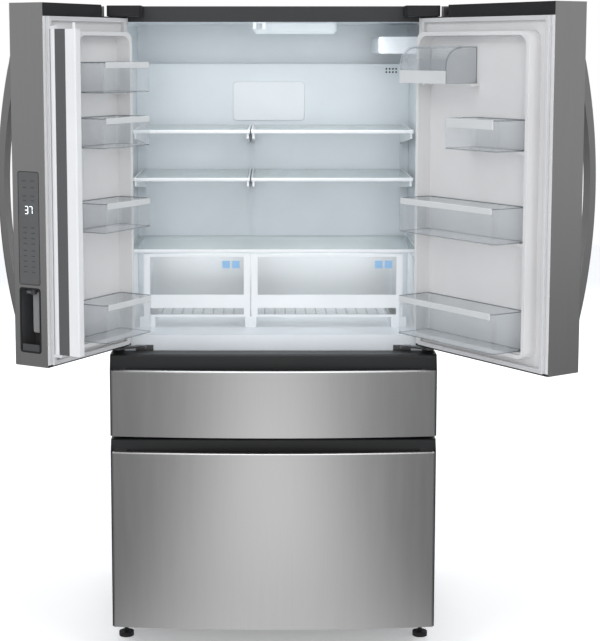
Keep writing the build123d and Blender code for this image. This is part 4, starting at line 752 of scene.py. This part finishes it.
def make_stud_tree():
    tree, sockets, inside = start_tree("studs on points", {
        "Points": "Geometry", "Foot Radius": "Float", "Top Radius": "Float", "Height": "Float",
        "Sides": "Int", "Facing": "Rotation", "Finish": "Material",
    }, "Studs")
    cone = add_node(tree, "GeometryNodeMeshCone", {
        "Vertices": inside["Sides"], "Radius Bottom": inside["Foot Radius"],
        "Radius Top": inside["Top Radius"], "Depth": inside["Height"],
    })
    put = add_node(tree, "GeometryNodeInstanceOnPoints", {
        "Points": inside["Points"], "Instance": cone.outputs["Mesh"], "Rotation": inside["Facing"],
    })
    end_tree(tree, put.outputs["Instances"], inside["Finish"])
    return tree, sockets


STUDS, STUD_SOCKETS = make_stud_tree()


def studs(name, points, facing, body, finish, foot, top, height, sides):
    turn = Vector((0, 0, 1)).rotation_difference(Vector(facing)).to_euler()
    mesh = grow(name, STUDS, STUD_SOCKETS, {
        "Foot Radius": foot, "Top Radius": top, "Height": height, "Sides": sides, "Facing": turn,
        "Finish": finish,
    }, points)
    add_piece(name, mesh, body, finish)
    print(name, len(points), "studs", len(mesh.polygons), "faces")


print("tree:", STUDS.name)

# %% [markdown]
# The control film carries two columns of key marks above and below the figures. They are plain
# dark dots in rows of three, one row to a key. Each dot stands a fifth of a millimetre proud, as
# a thick print does. The rows are measured down from the panel's top: four rows above the
# figures, and below them a block of four and a block of five.

# %% Touch keys
KEY_PITCH = 0.014
KEY_ROWS = [0.024, 0.041, 0.063, 0.075]
KEY_ROWS += [0.145 + KEY_PITCH * i for i in range(4)] + [0.205 + KEY_PITCH * i for i in range(5)]
KEY_DOTS = (-0.017, -0.013, -0.009, 0.009, 0.013, 0.017)

key_points = [
    ON_DOOR["left"] @ Vector((PANEL_FACE, PANEL_MID_Y + across, panel_high.z - drop))
    for drop in KEY_ROWS for across in KEY_DOTS
]
edge_normal = ON_DOOR["left"].to_3x3() @ Vector((1, 0, 0))
studs(
    "touch_keys", key_points, edge_normal, "left_door", KEY_MARK,
    foot=0.0016, top=0.0015, height=0.0002, sides=8,
)

# %% [markdown]
# Screws hold the back panel, the machine compartment cover and the lower hinges. Their heads are
# low cones with twelve sides, which is plain enough to repeat and round enough at this size.

# %% Screws
SCREW_SIDES, HINGE_PLATE_T = 12, 0.004
SIDE_IN, CORNER_DROP, TOP_DROP, COVER_DROP = 0.014, 0.022, 0.017, 0.0055
SIDE_LEVELS = [0.30 + 0.20 * i for i in range(8)]
TOP_PLACES = [0.15 * i for i in range(-2, 3)]
HINGE_SCREWS = ((0.372, 0.008), (0.350, 0.008), (0.361, 0.024))  # from the middle, and up

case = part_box("outer_case")[1]
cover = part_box("machine_cover")[1]
back_points = []
for z in SIDE_LEVELS + [case.z - CORNER_DROP]:
    back_points += [(side * (case.x - SIDE_IN), case.y, z) for side in (-1, 1)]
for x in TOP_PLACES:
    back_points += [(x, case.y, z) for z in (case.z - TOP_DROP, cover.z - COVER_DROP)]
studs(
    "back_screws", back_points, (0, 1, 0), "cabinet", SCREW_ZINC,
    foot=0.0045, top=0.0030, height=0.0022, sides=SCREW_SIDES,
)

hinge_low, hinge_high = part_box("door_hinges")
hinge_points = [
    (side * x, hinge_high.y - HINGE_PLATE_T, hinge_low.z + up)
    for side in (-1, 1) for x, up in HINGE_SCREWS
]
studs(
    "hinge_screws", hinge_points, (0, -1, 0), "cabinet", SCREW_ZINC,
    foot=0.0042, top=0.0030, height=0.0016, sides=SCREW_SIDES,
)

# %% [markdown]
# ### Ribs on the drawer floors
# Moulded baskets have shallow ribs on the floor that keep packets off the wet. A second small
# tree lays bars along a line: it is a Mesh Line with a box on each point. The count, the pitch,
# the first place and the size of a bar are its inputs.

# %% The rib tree


def make_rib_tree():
    tree, sockets, inside = start_tree("ribs in a row", {
        "Count": "Int", "Pitch": "Vector", "Bar": "Vector", "First": "Vector", "Finish": "Material",
    }, "Ribs")
    row = add_node(tree, "GeometryNodeMeshLine", {
        "Count": inside["Count"], "Start Location": inside["First"], "Offset": inside["Pitch"],
    })
    bar = add_node(tree, "GeometryNodeMeshCube", {"Size": inside["Bar"]})
    put = add_node(tree, "GeometryNodeInstanceOnPoints", {
        "Points": row.outputs["Mesh"], "Instance": bar.outputs["Mesh"],
    })
    end_tree(tree, put.outputs["Instances"], inside["Finish"])
    return tree, sockets


RIBS, RIB_SOCKETS = make_rib_tree()
print("tree:", RIBS.name)

# %% [markdown]
# Each floor gets as many ribs as fit at its pitch, set about its middle. They run from front to
# back, stop short of the walls and stand on the floor, sunk into it by a hair so that no light
# shows under them.

# %% Ribs in the baskets and crispers
RIB_H, RIB_SUNK, FLOOR_T, SIDE_MARGIN = 0.0018, 0.0001, 0.003, 0.04
BASKET_RIBS, PAN_RIBS = (0.05, 0.006, 0.060), (0.03, 0.004, 0.050)  # pitch, width, shorter by
RIB_ROWS = [
    ("flex_drawer", "flex_drawer_basket", BASKET_RIBS, WHITE_PLASTIC, "white_plastic"),
    ("freezer_drawer", "freezer_drawer_basket", BASKET_RIBS, WHITE_PLASTIC, "white_plastic"),
    ("left_crisper", "left_crisper_pan", PAN_RIBS, CLEAR_PAN, "clear_plastic"),
    ("right_crisper", "right_crisper_pan", PAN_RIBS, CLEAR_PAN, "clear_plastic"),
]
for body, node, (pitch, width, shorter), finish, slot in RIB_ROWS:
    low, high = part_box(node)
    middle = (low + high) / 2
    count = int((high.x - low.x - SIDE_MARGIN) / pitch)
    first_x = middle.x - (count - 1) * pitch / 2
    mesh = grow(body + "_ribs", RIBS, RIB_SOCKETS, {
        "Count": count, "First": (first_x, middle.y, low.z + FLOOR_T + RIB_H / 2 - RIB_SUNK),
        "Pitch": (pitch, 0, 0), "Bar": (width, high.y - low.y - shorter, RIB_H), "Finish": finish,
    }, [(0, 0, 0)])
    add_piece(body + "_ribs", mesh, body, finish)
    print(mesh.name, count, "ribs", len(mesh.polygons), "faces")

# %% [markdown]
# ### Dark edges of the clear bins
# A clear bin shows by its rim and by the turn of its floor, where one looks along the plastic and
# through more of it. A dark bead inside the wall draws that line. It is partly the plastic's own
# tint seen through more of it, and mostly painted shade for the dark line that refraction draws
# there. A third tree turns loops of edges into curves and runs a round section along them.

# %% The bead tree


def make_bead_tree():
    tree, sockets, inside = start_tree("beads along loops", {
        "Loops": "Geometry", "Radius": "Float", "Sides": "Int", "Finish": "Material",
    }, "Beads")
    curve = add_node(tree, "GeometryNodeMeshToCurve", {"Mesh": inside["Loops"]})
    section = add_node(tree, "GeometryNodeCurvePrimitiveCircle", {
        "Resolution": inside["Sides"], "Radius": inside["Radius"],
    })
    sweep = add_node(tree, "GeometryNodeCurveToMesh", {
        "Curve": curve.outputs["Curve"], "Profile Curve": section.outputs["Curve"],
    })
    end_tree(tree, sweep.outputs["Mesh"], inside["Finish"])
    return tree, sockets


BEADS, BEAD_SOCKETS = make_bead_tree()
print("tree:", BEADS.name)

# %% [markdown]
# One node holds all the bins of a door, so its mesh is first parted into what hangs together.
# From any vertex, its neighbours are added, then theirs, until there are no more: that is one
# bin. It is measured with the door shut, so that its box is square.

# %% Parting the bins


def loose_parts(name, side):
    """Corners of each separate solid of a node, with its door shut, from the lowest solid up."""
    shape = bmesh.new()
    shape.from_mesh(nodes[name].data)
    shape.transform(ON_DOOR[side].inverted())
    bmesh.ops.remove_doubles(shape, verts=shape.verts, dist=SAME_PLACE)
    waiting, parts = set(shape.verts), []
    while waiting:
        part = [waiting.pop()]
        for vertex in part:
            near = {edge.other_vert(vertex) for edge in vertex.link_edges} & waiting
            waiting -= near
            part += near
        parts.append(corners([vertex.co for vertex in part]))
    shape.free()
    return sorted(parts, key=lambda part: part[0].z)


BINS = {side: loose_parts(side + "_door_bins", side) for side in ("left", "right")}
print("bins:", {side: len(parts) for side, parts in BINS.items()})

# %% [markdown]
# Each bin is a box with rounded corners, and it gets one loop at its floor and one at its rim.
# The covered dairy box is drawn from the side instead, once for each side wall. Its curved front
# is a parabola through three points: the lip, the bend and the shelf's edge.

# %% Loops of the bins
BIN_RADIUS, HALF_WALL = 0.012, 0.0015
FRONT_IN, TOP_IN, LIP_UP, SHELF_IN = 0.0025, 0.0017, 0.0325, 0.0537
BEND_IN, BEND_DROP, BEND_STEPS = 0.0110, 0.0187, 6


def bin_loops(low, high):
    """Floor loop and rim loop of one bin, inside its wall."""
    middle, half_w = (low.x + high.x) / 2, (high.x - low.x) / 2 - HALF_WALL
    flat = rounded_loop(half_w, low.y + HALF_WALL, high.y - HALF_WALL, BIN_RADIUS - HALF_WALL)
    levels = (low.z + HALF_WALL, high.z - HALF_WALL)
    return [[(middle + a, b, z) for a, b in flat] for z in levels]


def dairy_loops():
    """Both sides of the covered box: flat floor, short front, curved top and flat back part."""
    low, high = shut_box("dairy_bin", "right")
    back, base = low.y + HALF_WALL, low.z + HALF_WALL
    front, top = high.y - FRONT_IN, high.z - TOP_IN
    lip, shelf = (front, base + LIP_UP), (front - SHELF_IN, top)
    bend = (front - BEND_IN, top - BEND_DROP)
    outline = [(back, base), (front, base)]
    for step in range(BEND_STEPS + 1):
        t = step / BEND_STEPS
        shares = ((1 - t) * (1 - 2 * t), 4 * t * (1 - t), t * (2 * t - 1))
        outline.append(tuple(
            sum(share * place for share, place in zip(shares, places))
            for places in zip(lip, bend, shelf)
        ))
    outline.append((back, top))
    return [[(x, y, z) for y, z in outline] for x in (low.x + HALF_WALL, high.x - HALF_WALL)]


LOOPS = {side: [loop for part in BINS[side] for loop in bin_loops(*part)] for side in BINS}
LOOPS["right"] += dairy_loops()
print("loops:", {side: len(loops) for side, loops in LOOPS.items()})

# %% [markdown]
# All loops of a door go through the tree together and come back as one piece that rides on the
# door.

# %% Beads in the bins
BEAD_RADIUS, BEAD_SIDES = 0.0014, 6

for side, loops in LOOPS.items():
    points, edges = [], []
    for loop in loops:
        first = len(points)
        points += [ON_DOOR[side] @ Vector(place) for place in loop]
        edges += [(first + i, first + (i + 1) % len(loop)) for i in range(len(loop))]
    values = {"Radius": BEAD_RADIUS, "Sides": BEAD_SIDES, "Finish": EDGE_SHADE_CLEAR}
    mesh = grow(side + "_bin_shade_beads", BEADS, BEAD_SOCKETS, values, points, edges)
    add_piece(side + "_bin_shade_beads", mesh, side + "_door", EDGE_SHADE_CLEAR)
    print(mesh.name, len(mesh.polygons), "faces")

# %% [markdown]
# ### Marks on the crispers
# Two plain pale blue squares sit in the upper right of each crisper window. They are printed on
# the clear pan, so they are thin plates on its front face.

# %% Crisper marks
MARK_SIZE, MARK_PITCH, MARK_IN, MARK_DROP = 0.022, 0.028, 0.030, 0.019
MARK_PROUD, MARK_SUNK, PAN_FACE = 0.0004, 0.0001, 0.003


def plate(x0, x1, y0, y1, z0, z1):
    points = [(x, y, z) for x in (x0, x1) for y in (y0, y1) for z in (z0, z1)]
    sides = [(0, 1, 3, 2), (4, 6, 7, 5), (0, 4, 5, 1), (2, 3, 7, 6), (0, 2, 6, 4), (1, 5, 7, 3)]
    return points, sides


for body in ("left_crisper", "right_crisper"):
    low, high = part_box(body + "_pan")
    front, top = low.y + PAN_FACE, high.z - MARK_DROP
    points, faces = [], []
    for place in (0, 1):
        right = high.x - MARK_IN - place * MARK_PITCH
        more, sides = plate(
            right - MARK_SIZE, right, front - MARK_PROUD, front + MARK_SUNK, top - MARK_SIZE, top
        )
        faces += [tuple(i + len(points) for i in side) for side in sides]
        points += more
    mesh = mesh_from(body + "_marks", points, faces)
    add_piece(body + "_marks", mesh, body, CHILL_BLUE)
    print(mesh.name, len(mesh.polygons), "faces")

# %% [markdown]
# ### Painted shade behind the vent holes
# The holes in the white duct cover look dark because of the shade inside the duct. That shade is
# painted here as one thin dark plate just behind the holes, so that they read as holes from every
# side.

# %% Painted shade behind the vents
VENT_DEPTH, VENT_T = 0.0515, 0.001
VENT_LEFT, VENT_RIGHT, VENT_LOW, VENT_HIGH = 0.080, 0.030, 0.034, 0.006

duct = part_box("duct_cover")[1]
vent_y = duct.y - VENT_DEPTH
points, faces = plate(
    duct.x - VENT_LEFT, duct.x - VENT_RIGHT, vent_y, vent_y + VENT_T,
    duct.z - VENT_LOW, duct.z - VENT_HIGH,
)
# The dark plate is painted shade: it stands for the shade inside the duct behind the holes.
mesh = mesh_from("vent_shade_plate", points, faces)
add_piece("vent_shade_plate", mesh, "cabinet", DARK_PLASTIC)
print(mesh.name, len(mesh.polygons), "faces")

# %% [markdown]
# ## Stage, light and camera
# The floor is plain and pale. Flat steel only shows what it mirrors, and a real studio surrounds
# such a front with brightness ahead and darkness at the sides: that is where the soft fall of
# light across the fronts comes from. So mirrored rays see a floor that glows in the middle, fades
# to both sides and is a little dimmer near the feet. Every other ray sees plain matt paint, which
# is lifted a little for the camera.

# %% Floor
WHITE, FLOOR_WHITE = (1, 1, 1, 1), (0.95, 0.95, 0.95, 1)
FLOOR_HALF, FLOOR_LIFT = 9, 0.25
FLOOR_FALL = [(0.05, 1.0), (0.80, 0.18)]  # metres from the middle, and the level there
FLOOR_AHEAD = (-0.9, -2.4, 0.74, 1.15)  # from one y to another, from one level to another


def mirrored_fall(tree, across, stops):
    """Grey levels at given places away from the middle, the same to both sides, eased between."""
    away = math_node(tree, "ABSOLUTE", across, 0.0)
    return ramp(tree, away, [(place, (level,) * 3) for place, level in stops], "EASE")


def choose(tree, factor, no, yes):
    """One shader or another, by a factor of 0 or 1."""
    mix = {0: factor, 1: no.outputs[0], 2: yes.outputs[0]}
    return add_node(tree, "ShaderNodeMixShader", mix)


def make_floor():
    half = FLOOR_HALF
    square = [(-half, -half, 0), (half, -half, 0), (half, half, 0), (-half, half, 0)]
    mesh = mesh_from("floor", square, [(0, 1, 2, 3)])
    floor = bpy.data.objects.new("floor", mesh)
    bpy.context.scene.collection.objects.link(floor)
    material, tree, shader = start_material("pale floor", roughness=0.9)
    path = add_node(tree, "ShaderNodeLightPath").outputs
    fill(tree, shader, {
        "Base Color": FLOOR_WHITE, "Emission Color": WHITE,
        "Emission Strength": math_node(tree, "MULTIPLY", path["Is Camera Ray"], FLOOR_LIFT),
    })
    place = add_node(tree, "ShaderNodeSeparateXYZ", {0: object_place(tree)}).outputs
    fall = mirrored_fall(tree, place["X"], FLOOR_FALL)
    level = math_node(tree, "MULTIPLY", fall, map_range(tree, place["Y"], *FLOOR_AHEAD))
    glow = add_node(tree, "ShaderNodeEmission", {"Strength": level})
    surface = choose(tree, path["Is Glossy Ray"], shader, glow)
    fill(tree, tree.nodes["Material Output"], {"Surface": surface.outputs[0]})
    mesh.materials.append(material)
    floor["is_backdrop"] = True
    return floor


print("floor:", make_floor().name)

# %% [markdown]
# The world is white to the camera and through clear plastic, which gives the white background.
# For all other rays it is a pale, cool fill light. Mirrored rays see a third version of it:
# bright ahead, dim to both sides, brighter again far out, where the door edges look, and
# brightest overhead. The bright sky draws the thin light line along the top of each drawer front.
# In a world, Generated is the ray's own direction, so its parts say how far it points sideways
# and upward.

# %% World
PALE_SKY, FILL_LEVEL = (0.93, 0.96, 1.0, 1), 0.75
SKY_FALL = [(0.06, 1.0), (0.36, 0.08), (0.46, 0.09), (0.85, 0.34)]  # sideways part, and level
SKY_OVERHEAD = (0.45, 0.90, 0.0, 1.4)  # from one upward part to another, from level to level


def make_world():
    world = bpy.data.worlds.new("studio")
    world.use_nodes = True
    tree = world.node_tree
    fill_light = tree.nodes["Background"]
    fill(tree, fill_light, {"Color": PALE_SKY, "Strength": FILL_LEVEL})
    white = add_node(tree, "ShaderNodeBackground", {"Color": WHITE, "Strength": 1.0})
    path = add_node(tree, "ShaderNodeLightPath").outputs
    way = add_node(tree, "ShaderNodeTexCoord").outputs["Generated"]
    place = add_node(tree, "ShaderNodeSeparateXYZ", {0: way}).outputs
    overhead = map_range(tree, place["Z"], *SKY_OVERHEAD)
    level = math_node(tree, "ADD", mirrored_fall(tree, place["X"], SKY_FALL), overhead)
    mirror = add_node(tree, "ShaderNodeBackground", {"Color": WHITE, "Strength": level})
    seen = math_node(tree, "MAXIMUM", path["Is Camera Ray"], path["Is Transmission Ray"])
    lit = choose(tree, path["Is Glossy Ray"], fill_light, mirror)
    surface = choose(tree, seen, lit, white)
    fill(tree, tree.nodes["World Output"], {"Surface": surface.outputs[0]})
    bpy.context.scene.world = world
    return world


print("world:", make_world().name)

# %% [markdown]
# Four large soft boxes light the outside from the front, both sides and the back. They are kept
# out of mirrored rays, because a lamp mirrored in flat steel is a white patch. Two small lamps do
# the work of the cabinet's own lights, one under the ceiling's lens and one at the crispers'
# rims. Each lamp has its place, the point that it looks at, its width and height, and its power
# in watts.

# %% Soft boxes
UNDER_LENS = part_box("light_cover")[0].z - 0.005
AT_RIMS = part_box("left_crisper_pan")[1].z - 0.002


def soft_box(name, place, aim, size, power, mirrored=False):
    data = bpy.data.lights.new(name, "AREA")
    data.shape = "RECTANGLE"
    data.size, data.size_y = size
    data.energy = power
    lamp = bpy.data.objects.new(name, data)
    bpy.context.scene.collection.objects.link(lamp)
    lamp.location = place
    lamp.visible_glossy = mirrored
    lamp.rotation_euler = (Vector(aim) - Vector(place)).to_track_quat("-Z", "Y").to_euler()


soft_box("front_box", (0, -6.2, 2.2), (0, -0.2, 1.1), (2.6, 3.0), 95)
for name, x in (("left_box", -3.4), ("right_box", 3.4)):
    soft_box(name, (x, -3.6, 4.6), (0, -0.3, 0.9), (1.8, 1.8), 45)
soft_box("shelf_lamp", (0, -0.23, UNDER_LENS), (0, -0.18, 0.9), (0.60, 0.14), 0.90, mirrored=True)
soft_box("crisper_lamp", (0, 0.07, AT_RIMS), (0, 0.10, 0.95), (0.72, 0.12), 0.90, mirrored=True)
soft_box("back_box", (0, 5.5, 3.2), (0, 0, 1.0), (3.0, 2.2), 90)
print("lamps:", len(bpy.data.lights))

# %% [markdown]
# The camera stands at eye height in front of the case and looks slightly down. The picture is cut
# below the eye line, so a part of the tilt is done by shifting the frame, which keeps upright
# edges nearly upright.

# %% Camera
LENS_MM, SENSOR_MM, SHIFT = 87.99, 36.0, (0.0494, -0.13)
EYE, TILT_DOWN = (-0.014, -4.671, 1.689), 6.77

camera_data = bpy.data.cameras.new("camera")
camera_data.lens = LENS_MM
camera_data.sensor_width = SENSOR_MM
camera_data.shift_x, camera_data.shift_y = SHIFT
camera = bpy.data.objects.new("camera", camera_data)
bpy.context.scene.collection.objects.link(camera)
camera.location = EYE
camera.rotation_euler = (radians(90.0 - TILT_DOWN), 0.0, 0.0)
bpy.context.scene.camera = camera
bpy.context.scene.view_settings.view_transform = "Standard"
print("camera at", [round(v, 3) for v in camera.location])

# %% Size of what is shown
low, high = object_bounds()
print("visual box:", [round(v, 3) for v in (*low, *high)])
